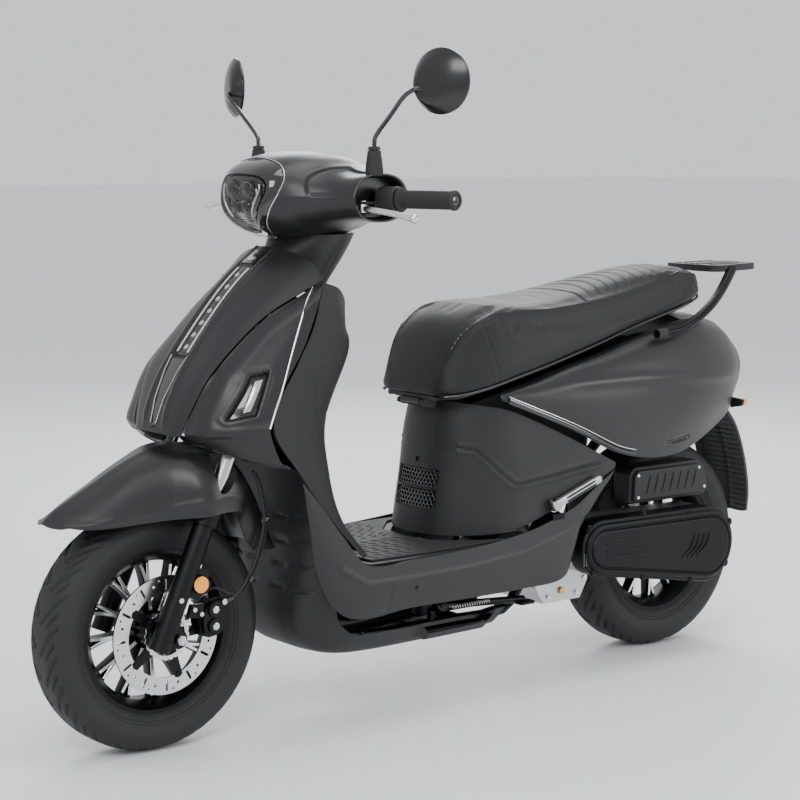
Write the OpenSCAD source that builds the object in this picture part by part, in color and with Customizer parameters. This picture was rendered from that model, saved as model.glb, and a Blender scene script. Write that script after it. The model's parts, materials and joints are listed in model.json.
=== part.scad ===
// Moped scooter: step-through body, telescopic fork, swinging engine unit with belt drive.
// Front of the machine is -X, the rider's left is -Y, +Z is up. The origin is on the ground,
// in the middle of the machine's length and width. All sizes are in millimetres.

/* [Layout] */
// Distance between the two axles
wheelbase = 1330; // [1250:10:1600]
// Width over the leg shields
body_w = 420; // [380:5:510]
// Angle of the steering axis from upright, in degrees
rake = 24.5; // [23:0.5:27]

/* [Front wheel] */
// Outside radius of the front tyre
front_tyre_r = 229.5; // [220:0.5:236]
// Widest part of the front tyre
front_tyre_w = 112; // [100:1:116]
// Outside radius of the front brake disc
disc_r = 113.5; // [95:0.5:118]
// Thickness of the front brake disc
disc_t = 4; // [3:0.1:5]

/* [Rear wheel] */
// Outside radius of the rear tyre
rear_tyre_r = 236.5; // [220:0.5:240]
// Widest part of the rear tyre
rear_tyre_w = 122; // [100:1:126]

/* [Wheels] */
// Radius of the rim where the tyre's bead sits
bead_r = 152.4; // [140:0.1:158]
// Radius of the wheel axles
axle_r = 6; // [5:0.5:8]
// Number of spokes in each wheel
spoke_n = 12; // [6:1:16]

/* [Fork and steering] */
// Distance between the fork legs' centre lines
leg_spread = 210; // [200:1:220]
// Outside diameter of a fork leg's lower tube
leg_d = 40; // [37:1:44]
// Diameter of a fork's sliding tube
slider_d = 30; // [25:0.5:36]
// Diameter of the steering stem
stem_d = 28; // [23:0.1:34]
// Diameter of the handlebar tube
bar_d = 22.2; // [20:0.1:27]
// Diameter over the rubber grips
grip_d = 34; // [31:1:40]
// Length of a grip
grip_len = 130; // [110:1:156]

/* [Mirrors] */
// Diameter of a mirror
mirror_d = 122; // [100:1:146]
// Height of the mirrors' centres above the ground
mirror_z = 1253; // [1210:1:1300]

/* [Body panels] */
// Wall of the moulded body panels
wall = 3; // [2:0.5:4]
// Thickness of the floor mat
mat_t = 5; // [3:1:8]

/* [Engine] */
// Rear radius of the belt cover
cover_r = 85; // [76:1:92]
// Depth of the belt cover
cover_depth = 50; // [44:1:58]
// Radius of the exhaust silencer
muffler_r = 46; // [38:1:50]

/* [Hidden] */
$fn = 64;

run_gap = 0.05;   // radial gap of every running fit
clear = 0.5;      // gap between pieces that move past each other

// A longer wheelbase lengthens the floor: the front and the rear of the body move whole.
grow = (wheelbase - 1330) / 2;
front_x = -700 - grow;
rear_x = 630 + grow;
function sx(x) = x + (x < -300 ? -grow : x > 150 ? grow : grow * (x + 75) / 225);
function fit(p) = [sx(p[0]), p[1] * body_w / 420, p[2]];

// Curve through hand-set points, at parameter t from 0 to len - 1 (Catmull-Rom)
function blend4(a, b, c, d, t) =
    0.5 * (2 * b + (c - a) * t + (2 * a - 5 * b + 4 * c - d) * t * t
        + (3 * b - a - 3 * c + d) * t * t * t);
function curve(p, t) =
    let (n = len(p), i = min(n - 2, floor(t)))
    blend4(i > 0 ? p[i - 1] : 2 * p[0] - p[1], p[i], p[i + 1],
        i + 2 < n ? p[i + 2] : 2 * p[n - 1] - p[n - 2], t - i);
// A grid of nu + 1 by nv + 1 points on the smooth surface through rows of points
function net(rows, nu, nv) =
    [for (i = [0:nu]) [for (j = [0:nv])
        curve([for (r = rows) fit(curve(r, j / nv * (len(r) - 1)))], i / nu * (len(rows) - 1))]];
function reversed(p) = [for (i = [len(p) - 1:-1:0]) p[i]];
function other_side(p) = [p[0], -p[1], p[2]];
// Rows given from the middle outwards, made whole across both sides
function whole(rows) =
    [for (r = rows) concat([for (i = [len(r) - 1:-1:1]) other_side(r[i])], r)];
function unit(v) = v / norm(v);
function face_normal(g, i, j) =
    unit(cross(g[min(i + 1, len(g) - 1)][j] - g[max(i - 1, 0)][j],
        g[i][min(j + 1, len(g[0]) - 1)] - g[i][max(j - 1, 0)]));

// A closed skin of thickness t over a grid of points, thickened against its normals
module skin(grid, t) {
    g = t < 0 ? [for (r = grid) reversed(r)] : grid;
    m = len(g);
    n = len(g[0]);
    back = [for (i = [0:m - 1]) for (j = [0:n - 1]) g[i][j] - abs(t) * face_normal(g, i, j)];
    rim = concat([for (j = [0:n - 1]) j], [for (i = [1:m - 1]) i * n + n - 1],
        [for (j = [n - 2:-1:0]) (m - 1) * n + j], [for (i = [m - 2:-1:1]) i * n]);
    k = len(rim);
    polyhedron(concat([for (r = g) each r], back), concat(
        [for (i = [0:m - 2]) for (j = [0:n - 2]) each [
            [i * n + j, i * n + j + 1, (i + 1) * n + j + 1],
            [i * n + j, (i + 1) * n + j + 1, (i + 1) * n + j]]],
        [for (i = [0:m - 2]) for (j = [0:n - 2]) each [
            [m * n + i * n + j, m * n + (i + 1) * n + j + 1, m * n + i * n + j + 1],
            [m * n + i * n + j, m * n + (i + 1) * n + j, m * n + (i + 1) * n + j + 1]]],
        [for (a = [0:k - 1]) let (b = (a + 1) % k) each [
            [rim[a], m * n + rim[a], m * n + rim[b]], [rim[a], m * n + rim[b], rim[b]]]]),
        convexity = 8);
}

// A solid through closed rings of points, all with the same count, capped at both ends
module loft(rings) {
    m = len(rings);
    n = len(rings[0]);
    ends = [for (r = [rings[0], rings[m - 1]]) [for (c = [0:2]) sum([for (p = r) p[c]]) / n]];
    polyhedron(concat([for (r = rings) each r], ends), concat(
        [for (i = [0:m - 2]) for (j = [0:n - 1]) let (k = (j + 1) % n) each [
            [i * n + j, i * n + k, (i + 1) * n + k], [i * n + j, (i + 1) * n + k, (i + 1) * n + j]]],
        [for (j = [0:n - 1]) [m * n, (j + 1) % n, j]],
        [for (j = [0:n - 1]) [m * n + 1, (m - 1) * n + j, (m - 1) * n + (j + 1) % n]]),
        convexity = 8);
}
function sum(v, i = 0) = i < len(v) ? v[i] + sum(v, i + 1) : 0;

// A round or flat bar swept along points: half sizes a sideways and b upwards
module sweep(path, a, b, sides = 10, up = [0, 0, 1]) {
    n = len(path);
    loft([for (i = [0:n - 1])
        let (d = unit(path[min(i + 1, n - 1)] - path[max(i - 1, 0)]),
            s = unit(cross(d, up)), w = cross(s, d))
        [for (j = [0:sides - 1]) let (q = 360 * j / sides)
            path[i] + s * a * cos(q) + w * b * sin(q)]]);
}
// A smooth path of n steps through hand-set points
function route(p, n) = [for (i = [0:n]) curve(p, i / n * (len(p) - 1))];

module both_sides() {
    children();
    mirror([0, 1, 0]) children();
}
module along_y(x, z, y0, y1, r, r2 = -1) {
    translate([x, y0, z]) rotate([-90, 0, 0]) cylinder(h = y1 - y0, r1 = r, r2 = r2 < 0 ? r : r2);
}
module bar(a, b, r) {
    d = b - a;
    translate(a) rotate([0, acos(d[2] / norm(d)), atan2(d[1], d[0])]) cylinder(h = norm(d), r = r);
}
module ring_y(x, z, y0, y1, r_out, r_in) {
    difference() {
        along_y(x, z, y0, y1, r_out);
        along_y(x, z, y0 - 1, y1 + 1, r_in);
    }
}
// Two circles joined by their tangents, in a plane seen along Y, from y0 to y1
module long_round(a, ra, b, rb, y0, y1) {
    l = norm(b - a);
    h = atan2(b[1] - a[1], b[0] - a[0]);
    q = acos((ra - rb) / l);
    plate_y([for (i = [0:20]) a + ra * [cos(h + q + i * (18 - q / 10)), sin(h + q + i * (18 - q / 10))],
        for (i = [0:20]) b + rb * [cos(h - q + i * q / 10), sin(h - q + i * q / 10)]], y0, y1);
}
module plate_y(points, y0, y1) {
    translate([0, y1, 0]) rotate([90, 0, 0]) linear_extrude(y1 - y0) polygon(points);
}

// At axle height the steering axis is this far behind the axle, and this far behind the fork legs
axis_lead = 20;
leg_lead = 50;
axis_foot = [front_x + axis_lead, 0, front_tyre_r];
module on_axis() {
    translate(axis_foot) rotate([0, rake, 0]) children();
}
function axis_point(s, x = 0, y = 0) =
    axis_foot + [s * sin(rake) + x * cos(rake), y, s * cos(rake) - x * sin(rake)];
axle_s = -axis_lead * sin(rake);
axle_x = -axis_lead * cos(rake);
leg_y = leg_spread / 2;

// Handlebar: a straight middle on the steering axis and two ends swept back
bar_s = 885;
bar_mid = axis_point(bar_s);
bar_half = 70;
bar_sweep = 14;
bar_end = 300;
module on_bar() {
    translate(bar_mid + [0, -bar_half, 0]) rotate([0, 0, bar_sweep]) children();
}

/* ---- control points of the body, left half, [x, half width, z] ---- */
apron_rows = [
    [[-420, 0, 942], [-416, 30, 940], [-408, 75, 932], [-398, 125, 915], [-400, 160, 884]],
    [[-490, 0, 890], [-487, 28, 888], [-474, 70, 881], [-456, 110, 872], [-438, 140, 860]],
    [[-554, 0, 824], [-552, 28, 823], [-544, 68, 820], [-532, 98, 816], [-516, 120, 812]],
    [[-630, 0, 727], [-629, 28, 727], [-625, 66, 727], [-620, 92, 727], [-610, 110, 727]],
    [[-667, 0, 658], [-666, 28, 658], [-663, 58, 658], [-658, 80, 658], [-650, 95, 658]],
    [[-683, 0, 603], [-682, 28, 603], [-680, 52, 602], [-676, 68, 601], [-670, 80, 601]]];
wing_rows = [
    [[-402, 162, 882], [-403, 165, 881], [-405, 168, 880], [-407, 170, 879]],
    [[-440, 143, 857], [-440, 158, 850], [-434, 170, 845], [-424, 178, 840]],
    [[-518, 123, 808], [-508, 150, 795], [-490, 172, 780], [-462, 186, 765]],
    [[-612, 113, 722], [-598, 146, 712], [-565, 180, 700], [-520, 200, 692]],
    [[-652, 98, 654], [-640, 136, 646], [-605, 178, 640], [-550, 208, 636]],
    [[-668, 88, 606], [-655, 130, 606], [-620, 176, 608], [-558, 212, 612]],
    [[-654, 86, 592], [-636, 128, 580], [-590, 166, 564], [-526, 198, 552]],
    [[-648, 86, 586], [-622, 128, 570], [-566, 166, 548], [-500, 194, 534]]];
inner_rows = [
    [[-274, 0, 826], [-282, 70, 828], [-332, 122, 862], [-398, 162, 880]],
    [[-276, 0, 788], [-286, 72, 788], [-330, 126, 795], [-433, 178, 798]],
    [[-285, 0, 745], [-290, 70, 742], [-315, 118, 738], [-478, 192, 735]],
    [[-345, 0, 615], [-350, 70, 613], [-372, 122, 612], [-545, 205, 625]],
    [[-345, 0, 510], [-350, 80, 508], [-372, 138, 508], [-470, 188, 520]],
    [[-328, 0, 420], [-332, 85, 420], [-350, 150, 420], [-395, 184, 425]],
    [[-285, 0, 345], [-286, 90, 345], [-292, 150, 345], [-318, 180, 345]]];
skirt_rows = [
    [[-470, 190, 508], [-470, 190, 503], [-468, 189, 498], [-466, 188, 494]],
    [[-425, 191, 455], [-432, 190, 415], [-436, 184, 375], [-432, 176, 340]],
    [[-375, 191, 392], [-385, 191, 345], [-390, 186, 295], [-385, 174, 252]],
    [[-313, 191, 330], [-316, 192, 298], [-318, 188, 258], [-318, 174, 222]],
    [[-200, 191, 328], [-200, 192, 298], [-200, 189, 262], [-200, 176, 228]],
    [[-50, 190, 332], [-50, 191, 300], [-50, 188, 262], [-50, 175, 226]],
    [[100, 186, 346], [100, 187, 310], [100, 183, 268], [100, 170, 224]],
    [[225, 182, 378], [228, 182, 335], [226, 178, 285], [222, 166, 232]],
    [[292, 178, 412], [282, 176, 384], [268, 172, 350], [252, 164, 305]],
    [[362, 172, 448], [350, 171, 434], [336, 169, 418], [320, 165, 400]]];
belly_rows = [
    [[-430, 0, 520], [-428, 70, 520], [-424, 115, 516], [-412, 150, 505]],
    [[-420, 0, 420], [-420, 70, 420], [-412, 118, 418], [-388, 158, 410]],
    [[-426, 0, 310], [-425, 70, 310], [-412, 116, 308], [-368, 156, 305]],
    [[-436, 0, 220], [-433, 66, 220], [-418, 110, 222], [-362, 150, 230]],
    [[-402, 0, 162], [-400, 64, 163], [-386, 106, 170], [-340, 146, 200]],
    [[-320, 0, 138], [-320, 64, 138], [-316, 108, 144], [-300, 148, 184]],
    [[-150, 0, 134], [-150, 66, 134], [-150, 110, 140], [-150, 152, 182]],
    [[70, 0, 140], [70, 66, 140], [70, 108, 146], [70, 150, 186]]];
underseat_rows = [
    [[-24, 0, 616], [-12, 60, 614], [30, 106, 606], [100, 136, 590], [230, 152, 532], [370, 164, 462]],
    [[-36, 0, 545], [-25, 62, 544], [16, 112, 540], [95, 143, 528], [225, 158, 480], [366, 167, 452]],
    [[-48, 0, 460], [-37, 64, 460], [10, 116, 458], [92, 150, 455], [215, 162, 438], [352, 168, 444]],
    [[-58, 0, 392], [-47, 66, 392], [2, 120, 392], [86, 154, 392], [205, 164, 412], [340, 168, 438]],
    [[-66, 0, 341], [-54, 68, 341], [-2, 124, 341], [80, 160, 348], [195, 166, 380], [330, 168, 432]]];
cover_rows = [
    [[64, 138, 632], [62, 143, 628], [61, 145, 624], [62, 145, 620], [66, 143, 615]],
    [[150, 138, 652], [150, 154, 640], [150, 162, 622], [150, 163, 600], [150, 158, 580]],
    [[250, 138, 678], [250, 160, 660], [250, 174, 625], [250, 176, 580], [250, 168, 538]],
    [[360, 132, 700], [360, 164, 676], [360, 182, 622], [360, 184, 555], [360, 174, 486]],
    [[470, 122, 724], [470, 158, 696], [470, 182, 632], [470, 184, 550], [470, 168, 462]],
    [[580, 104, 744], [580, 142, 714], [580, 170, 640], [580, 172, 550], [580, 156, 464]],
    [[690, 80, 748], [690, 118, 722], [690, 146, 645], [690, 146, 560], [690, 132, 494]],
    [[790, 50, 730], [790, 84, 704], [790, 110, 645], [790, 108, 580], [790, 98, 530]],
    [[858, 26, 690], [864, 48, 670], [868, 62, 636], [866, 60, 595], [858, 52, 564]]];
tail_rows = [
    [[640, 0, 762], [640, 40, 759], [640, 84, 748]],
    [[740, 0, 752], [740, 34, 749], [740, 62, 740]],
    [[820, 0, 722], [820, 22, 719], [820, 36, 712]],
    [[868, 0, 684], [866, 12, 682], [862, 20, 680]]];
fender_rows = [
    [[-916, 0, 453], [-914, 20, 452], [-908, 34, 451], [-901, 43, 450], [-893, 49, 449]],
    [[-890, 0, 474], [-886, 26, 469], [-877, 44, 461], [-867, 56, 453], [-862, 59, 446]],
    [[-851, 0, 495], [-848, 32, 489], [-842, 56, 476], [-836, 70, 459], [-834, 73, 446]],
    [[-804, 0, 519], [-802, 34, 513], [-798, 60, 499], [-794, 76, 475], [-792, 80, 447]],
    [[-755, 0, 544], [-754, 36, 539], [-750, 64, 523], [-746, 82, 491], [-744, 86, 449]],
    [[-705, 0, 564], [-704, 38, 560], [-700, 74, 546], [-696, 96, 506], [-694, 101, 452]],
    [[-655, 0, 574], [-654, 46, 571], [-652, 92, 560], [-650, 128, 515], [-650, 135, 456]],
    [[-605, 0, 574], [-605, 48, 572], [-604, 96, 562], [-604, 129, 520], [-606, 136, 460]],
    [[-560, 0, 556], [-558, 46, 553], [-556, 90, 540], [-557, 120, 505], [-562, 124, 455]],
    [[-512, 0, 505], [-511, 40, 502], [-512, 76, 490], [-526, 92, 468], [-550, 94, 438]],
    [[-475, 0, 430], [-475, 40, 428], [-478, 72, 422], [-498, 88, 410], [-534, 90, 396]],
    [[-450, 0, 366], [-450, 40, 366], [-454, 72, 366], [-474, 86, 367], [-514, 88, 370]]];
mudguard_rows = [
    [[800, 0, 565], [800, 40, 563], [798, 66, 556], [790, 74, 545]],
    [[858, 0, 500], [857, 40, 499], [853, 66, 494], [842, 75, 486]],
    [[892, 0, 420], [891, 40, 419], [886, 66, 416], [872, 75, 410]],
    [[908, 0, 340], [907, 40, 340], [902, 66, 338], [886, 75, 336]],
    [[914, 0, 276], [913, 36, 276], [908, 58, 280], [894, 66, 286]]];
// Handlebar cowl sections: half width station, front x, rear x, top z, bottom z
cowl_sections = [
    [0, -492, -192, 1124, 955], [45, -488, -193, 1121, 957], [78, -470, -197, 1112, 965],
    [105, -432, -203, 1099, 978], [135, -396, -210, 1089, 986], [170, -370, -220, 1085, 990],
    [202, -356, -230, 1083, 991]];
// Seat sections: x, bottom z, middle top z, half width below, half width at the piping, its z
seat_sections = [
    [-76, 628, 648, 80, 66, 642], [-56, 628, 698, 108, 92, 684], [-14, 632, 764, 126, 108, 746],
    [40, 644, 797, 142, 124, 782], [110, 662, 806, 150, 135, 793], [205, 684, 804, 152, 140, 795],
    [325, 712, 820, 146, 134, 802], [445, 740, 842, 132, 120, 814], [560, 762, 858, 114, 104, 834],
    [650, 778, 862, 96, 88, 850], [716, 790, 852, 68, 60, 844], [748, 798, 832, 36, 30, 828]];

/* ---- frame ---- */
rail_y = 112;
rail_r = 12;
stem_s1 = 800;
pivot = [sx(235), 340];
swing_pin_r = 6;
stand_at = [sx(-96), -140, 211];
stand_axis = unit([-0.032, 0.906, -0.423]);
peg_at = [sx(185), -178, 392];
peg_tilt = 19;
shock_low = [sx(700), 98, 335];
shock_top = [sx(640), 98, 640];
shock_pin_r = 6;

rail_route = [[-396, 12, 350], [-380, 50, 235], [-322, 96, 180], [-240, 108, 168], [-60, 110, 168],
    [90, 110, 170], [144, 110, 218], [178, 110, 320], [290, 108, 430], [430, 107, 552], [560, 101, 650],
    [660, 84, 688], [760, 56, 700]];
module frame_side() {
    sweep([for (p = route(rail_route, 26)) fit(p)], rail_r, rail_r, 10);
    bar([sx(190), rail_y, 333], [pivot[0], rail_y - 6, pivot[1]], 10);
}
module main_frame() {
    color([0.09, 0.09, 0.1]) {
        difference() {
            union() {
                on_axis() translate([0, 0, 430]) cylinder(h = 170, r = stem_d / 2 + 13);
                bar(axis_point(500, 0, 0), [sx(-396), 0, 500], 17);
                bar([sx(-396), 0, 512], [sx(-394), 0, 330], 18);
                both_sides() frame_side();
                bar([sx(-280), -104, 170], [sx(-280), 104, 170], rail_r - 3);
                bar([sx(-20), -104, 169], [sx(-20), 104, 169], rail_r - 3);
                bar([sx(740), -59, 696], [sx(740), 59, 696], rail_r - 2);
                bar([sx(-97), -rail_y, 172], stand_at + 28 * stand_axis, 8);
                bar(stand_at - 11 * stand_axis, stand_at + 30 * stand_axis, 6);
                bar([sx(640), 80, 672], shock_top - [0, 27, 0], 9);
                both_sides() translate([peg_at[0] - 7, rail_y, peg_at[2] - 30]) cube([14, 56, 12]);
            }
            on_axis() translate([0, 0, 425]) cylinder(h = 180, r = stem_d / 2 + 6);
        }
        for (s = [434, 578]) on_axis() translate([0, 0, s]) difference() {
            cylinder(h = 18, r = stem_d / 2 + 5.95);
            translate([0, 0, -1]) cylinder(h = 20, r = stem_d / 2 + run_gap);
        }
        along_y(pivot[0], pivot[1], -rail_y - 8, rail_y + 8, swing_pin_r);
        along_y(shock_top[0], shock_top[2], 72, 116, shock_pin_r);
        both_sides() translate([peg_at[0] - 16, -peg_at[1] - 10, peg_at[2] - 30]) cube([32, 20, 12]);
        both_sides() mirror([0, 1, 0]) translate(peg_at) rotate([0, -peg_tilt, 0])
            translate([0, 0, -24]) cylinder(h = 38, r = 4);
    }
}

/* ---- body panels ---- */
lens_half = 26;
lens_low = 742;
lens_high = 912;
signal_outline = [[sx(-571), 716], [sx(-541), 721], [sx(-577), 645], [sx(-623), 637]];
module lens_block(g) {
    translate([sx(-900), -lens_half + g, lens_low + g])
        cube([600, 2 * (lens_half - g), lens_high - lens_low - 2 * g]);
}
module apron_skin() { skin(net(whole(apron_rows), 12, 16), -wall); }
module wing_skin() { skin(net(wing_rows, 14, 6), -wall); }
module front_apron() {
    color([0.16, 0.16, 0.18]) difference() {
        apron_skin();
        lens_block(0);
    }
}
module front_lamps() {
    color([0.85, 0.88, 0.9]) {
        intersection() {
            apron_skin();
            lens_block(0.6);
        }
        both_sides() intersection() {
            wing_skin();
            translate([0, 300, 0]) rotate([90, 0, 0]) linear_extrude(250) offset(delta = -0.6)
                polygon(signal_outline);
        }
    }
}
module leg_shields() {
    color([0.16, 0.16, 0.18]) both_sides() difference() {
        wing_skin();
        plate_y(signal_outline, 50, 300);
    }
}
lock_at = [sx(-330), 85, 790];
module inner_shield() {
    color([0.13, 0.13, 0.14]) difference() {
        skin(net(whole(inner_rows), 12, 12), wall);
        translate(lock_at - [60, 0, 0]) rotate([0, 90, 0]) cylinder(h = 120, r = 13);
    }
}
module floor_outline(inset) {
    half = [[-309, 0], [-309, 150], [-303, 180], [-200, 185], [-50, 185], [100, 180], [112, 168],
        [66, 152], [-6, 124], [-60, 68], [-70, 0]];
    whole_line = concat(half, [for (i = [len(half) - 2:-1:1]) [half[i][0], -half[i][1]]]);
    offset(delta = -inset) polygon([for (p = whole_line) [sx(p[0]), p[1] * body_w / 420]]);
}
floor_z = 326;
module floorboard() {
    color([0.12, 0.12, 0.13]) translate([0, 0, floor_z]) linear_extrude(4) floor_outline(0);
}
module floor_mat() {
    color([0.08, 0.08, 0.085]) translate([0, 0, floor_z + 4.2]) {
        linear_extrude(mat_t) floor_outline(16);
        for (i = [0:6]) for (s = [-1, 1])
            translate([sx(-250) + i * 26, s * 100 - 45, 0]) cube([9, 90, mat_t + 1.5]);
    }
}
skirt_bolt = [-196, 190.5, 272];
belly_bolt = [-300, 149, 186];
module bolt_hole(at) {
    translate(at) rotate([90, 0, 0]) cylinder(h = 40, r = 5.3, center = true);
}
module side_skirts() {
    color([0.15, 0.15, 0.16]) both_sides() difference() {
        skin(net(skirt_rows, 18, 5), wall);
        bolt_hole(fit(skirt_bolt));
        translate([peg_at[0] - 18, 160, peg_at[2] - 32]) cube([36, 40, 20]);
    }
}
module belly_pan() {
    color([0.1, 0.1, 0.11]) difference() {
        skin(net(whole(belly_rows), 14, 10), -wall);
        both_sides() bolt_hole(fit(belly_bolt));
        translate([sx(-132), -165, 168]) cube([160, 32, 40]);
    }
}
module underseat_cover() {
    color([0.14, 0.14, 0.15]) difference() {
        skin(net(whole(underseat_rows), 7, 26), -wall);
        both_sides() translate([peg_at[0] - 24, 120, peg_at[2] - 40]) cube([48, 80, 32]);
        for (z = [425, 462]) translate([sx(-90), -30, z]) cube([90, 50, 8]);
        translate([sx(-60), 0, 490]) rotate([0, 90, 0]) cylinder(h = 60, r = 4.3);
        for (s = [-1, 1]) translate([sx(-70), s * 36.5 - 4.5, 585]) cube([110, 9, 50]);
    }
}
module side_covers() {
    color([0.17, 0.17, 0.19]) {
        both_sides() skin(net(cover_rows, 14, 6), wall);
        skin(net(whole(tail_rows), 6, 6), wall);
    }
}
module rear_lamps() {
    color([0.7, 0.05, 0.05]) difference() {
        loft([for (q = [0:4]) let (x = sx(846 + 12.5 * q), k = 1 - 0.055 * q * q)
            [for (a = [0:30:330]) [x, -46 * k * cos(a), 622 + 52 * k * sin(a)]]]);
        translate([sx(830), -30, 600]) cube([50, 60, 45]);
    }
    color([0.9, 0.5, 0.1]) both_sides() translate([sx(838), 60, 530]) rotate([90, 0, 90])
        linear_extrude(20) polygon([[0, 0], [36, 8], [40, 22], [4, 24]]);
}
module rear_mudguard() {
    color([0.07, 0.07, 0.075]) {
        skin(net(whole(mudguard_rows), 10, 10), wall);
    }
}
rack_hole_r = 3.5;
module rack_outline() {
    polygon([[sx(756), -62], [sx(766), -78], [sx(800), -82], [sx(905), -62], [sx(925), -44],
        [sx(925), 44], [sx(905), 62], [sx(800), 82], [sx(766), 78], [sx(756), 62]]);
}
rail_path = [[500, 153, 728], [560, 158, 734], [620, 155, 754], [680, 141, 780], [735, 118, 806],
    [785, 94, 834], [815, 78, 852]];
module grab_rail() {
    color([0.08, 0.08, 0.085]) {
        difference() {
            translate([0, 0, 847]) linear_extrude(18) rack_outline();
            for (x = [-1, 1]) for (y = [-1, 1]) translate([sx(820) + x * 35, y * 35, 840])
                cylinder(h = 30, r = rack_hole_r);
        }
        both_sides() sweep([for (p = route(rail_path, 14)) fit(p)], 12, 11, 10);
    }
}
seat_hinge = [sx(-58), 614];
module storage_bucket() {
    outer = [[24, 604], [34, 420], [52, 402], [330, 402], [352, 422], [368, 562], [500, 585], [512, 716]];
    inner = [[27, 605], [37, 421], [53, 405], [328, 405], [349, 423], [365, 565], [497, 588], [509, 717]];
    color([0.1, 0.1, 0.105]) difference() {
        plate_y([for (p = outer) [sx(p[0]), p[1]]], -86, 86);
        plate_y([for (p = inner) [sx(p[0]), p[1]]], -83, 83);
    }
    color([0.1, 0.1, 0.105]) {
        both_sides() plate_y([[sx(-66), 608], [sx(-50), 602], [sx(28), 590], [sx(28), 602],
            [sx(-50), 617], [sx(-64), 617]], 34, 39);
        along_y(seat_hinge[0], seat_hinge[1], -39, 39, 4 - run_gap);
    }
}
module fuel_tank() {
    color([0.2, 0.2, 0.21]) {
        plate_y([[sx(-130), 194], [sx(-115), 182], [sx(30), 182], [sx(45), 194], [sx(45), 290],
            [sx(35), 300], [sx(-120), 300], [sx(-130), 290]], -92, 92);
        translate([sx(-60), 60, 300]) cylinder(h = 20, r = 22);
    }
}
module battery() {
    color([0.06, 0.06, 0.065]) {
        translate([sx(-262), -56, 186]) cube([88, 112, 100]);
        for (s = [-1, 1]) translate([sx(-218), s * 40, 286]) cylinder(h = 8, r = 6);
    }
}
module body_bolts() {
    color([0.25, 0.25, 0.26]) {
        both_sides() translate(fit(skirt_bolt)) rotate([90, 0, 0]) cylinder(h = 8, r = 5);
        both_sides() translate(fit(belly_bolt) + [0, 2, 0]) rotate([90, 0, 0]) cylinder(h = 8, r = 5);
        translate([sx(-45), 0, 490]) rotate([0, 90, 0]) cylinder(h = 9, r = 4);
    }
}
module ignition_lock() {
    color([0.5, 0.5, 0.52]) translate(lock_at) rotate([0, 90, 0]) {
        translate([0, 0, -38]) cylinder(h = 46, r = 11);
        translate([0, 0, 8]) cylinder(h = 4, r = 8);
        translate([-1.5, -9, 12]) cube([3, 18, 22]);
    }
}

/* ---- seat, stand and foot pegs ---- */
function seat_ring(s) =
    let (x = sx(s[0]), b = s[1], t = s[2], l = s[3], w = s[4], z = s[5],
        up = [[-l, b + 10], [-(l + w) / 2 - 3, (b + z) / 2], [-w, z],
            [-0.74 * w, z + 0.6 * (t - z)], [-0.38 * w, z + 0.92 * (t - z)]])
    concat([for (p = up) [x, p[0], p[1]]], [[x, 0, t]],
        [for (i = [4:-1:0]) [x, -up[i][0], up[i][1]]],
        [[x, l - 12, b], [x, 12 - l, b]]);
module seat_cushion() {
    color([0.1, 0.1, 0.105])
        loft([for (i = [0:22]) seat_ring(curve(seat_sections, i / 22 * (len(seat_sections) - 1)))]);
}
module seat_base() {
    color([0.08, 0.08, 0.085]) {
        difference() {
            loft([for (i = [1:20]) let (s = curve(seat_sections, i / 22 * (len(seat_sections) - 1)),
                l = s[3] - 16, x = sx(s[0]))
                [[x, -l, s[1] - 1], [x, l, s[1] - 1], [x, l, s[1] - 9], [x, -l, s[1] - 9]]]);
            both_sides() translate([sx(-90), 31, 600]) cube([70, 11, 26]);
        }
        ring_y(seat_hinge[0], seat_hinge[1], -30, 30, 7, 4);
    }
}
module side_stand() {
    color([0.08, 0.08, 0.085]) translate(stand_at) {
        difference() {
            union() {
                bar(-9 * stand_axis, 9 * stand_axis, 14);
                bar([0, 0, 0], [222, -4, -16], 9);
                translate([200, -26, -24]) cube([40, 30, 6]);
            }
            bar(-20 * stand_axis, 20 * stand_axis, 6 + run_gap);
        }
    }
}
module peg() {
    translate(peg_at) rotate([0, -peg_tilt, 0]) difference() {
        union() {
            translate([0, 0, -11]) cylinder(h = 22, r = 11);
            translate([0, -8, -9]) cube([128, 16, 18]);
            translate([128, 0, -9]) cylinder(h = 18, r = 8);
        }
        translate([0, 0, -12]) cylinder(h = 30, r = 4 + run_gap);
    }
}
module peg_left() { color([0.78, 0.78, 0.8]) peg(); }
module peg_right() { color([0.78, 0.78, 0.8]) mirror([0, 1, 0]) peg(); }

/* ---- steering ---- */
bridge_s0 = 366;
bridge_h = 28;
slider_s0 = 70;
module steering_stem() {
    color([0.12, 0.12, 0.13]) on_axis() {
        difference() {
            union() {
                translate([0, 0, bridge_s0]) linear_extrude(bridge_h) {
                    circle(r = stem_d / 2 + 12);
                    for (s = [-1, 1]) {
                        translate([-leg_lead * cos(rake), s * leg_y]) circle(r = slider_d / 2 + 9);
                        polygon([[-20, 0], [20, 0], [-leg_lead * cos(rake) + 20, s * leg_y],
                            [-leg_lead * cos(rake) - 16, s * leg_y]]);
                    }
                }
                translate([0, 0, bridge_s0]) cylinder(h = stem_s1 - bridge_s0, r = stem_d / 2);
            }
            for (s = [-1, 1]) translate([-leg_lead * cos(rake), s * leg_y, bridge_s0 - 1])
                cylinder(h = bridge_h + 2, r = slider_d / 2 + run_gap);
        }
    }
    color([0.75, 0.75, 0.77]) on_axis() for (s = [-1, 1])
        translate([-leg_lead * cos(rake), s * leg_y, slider_s0])
            cylinder(h = bridge_s0 + bridge_h - slider_s0, r = slider_d / 2);
}
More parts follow.
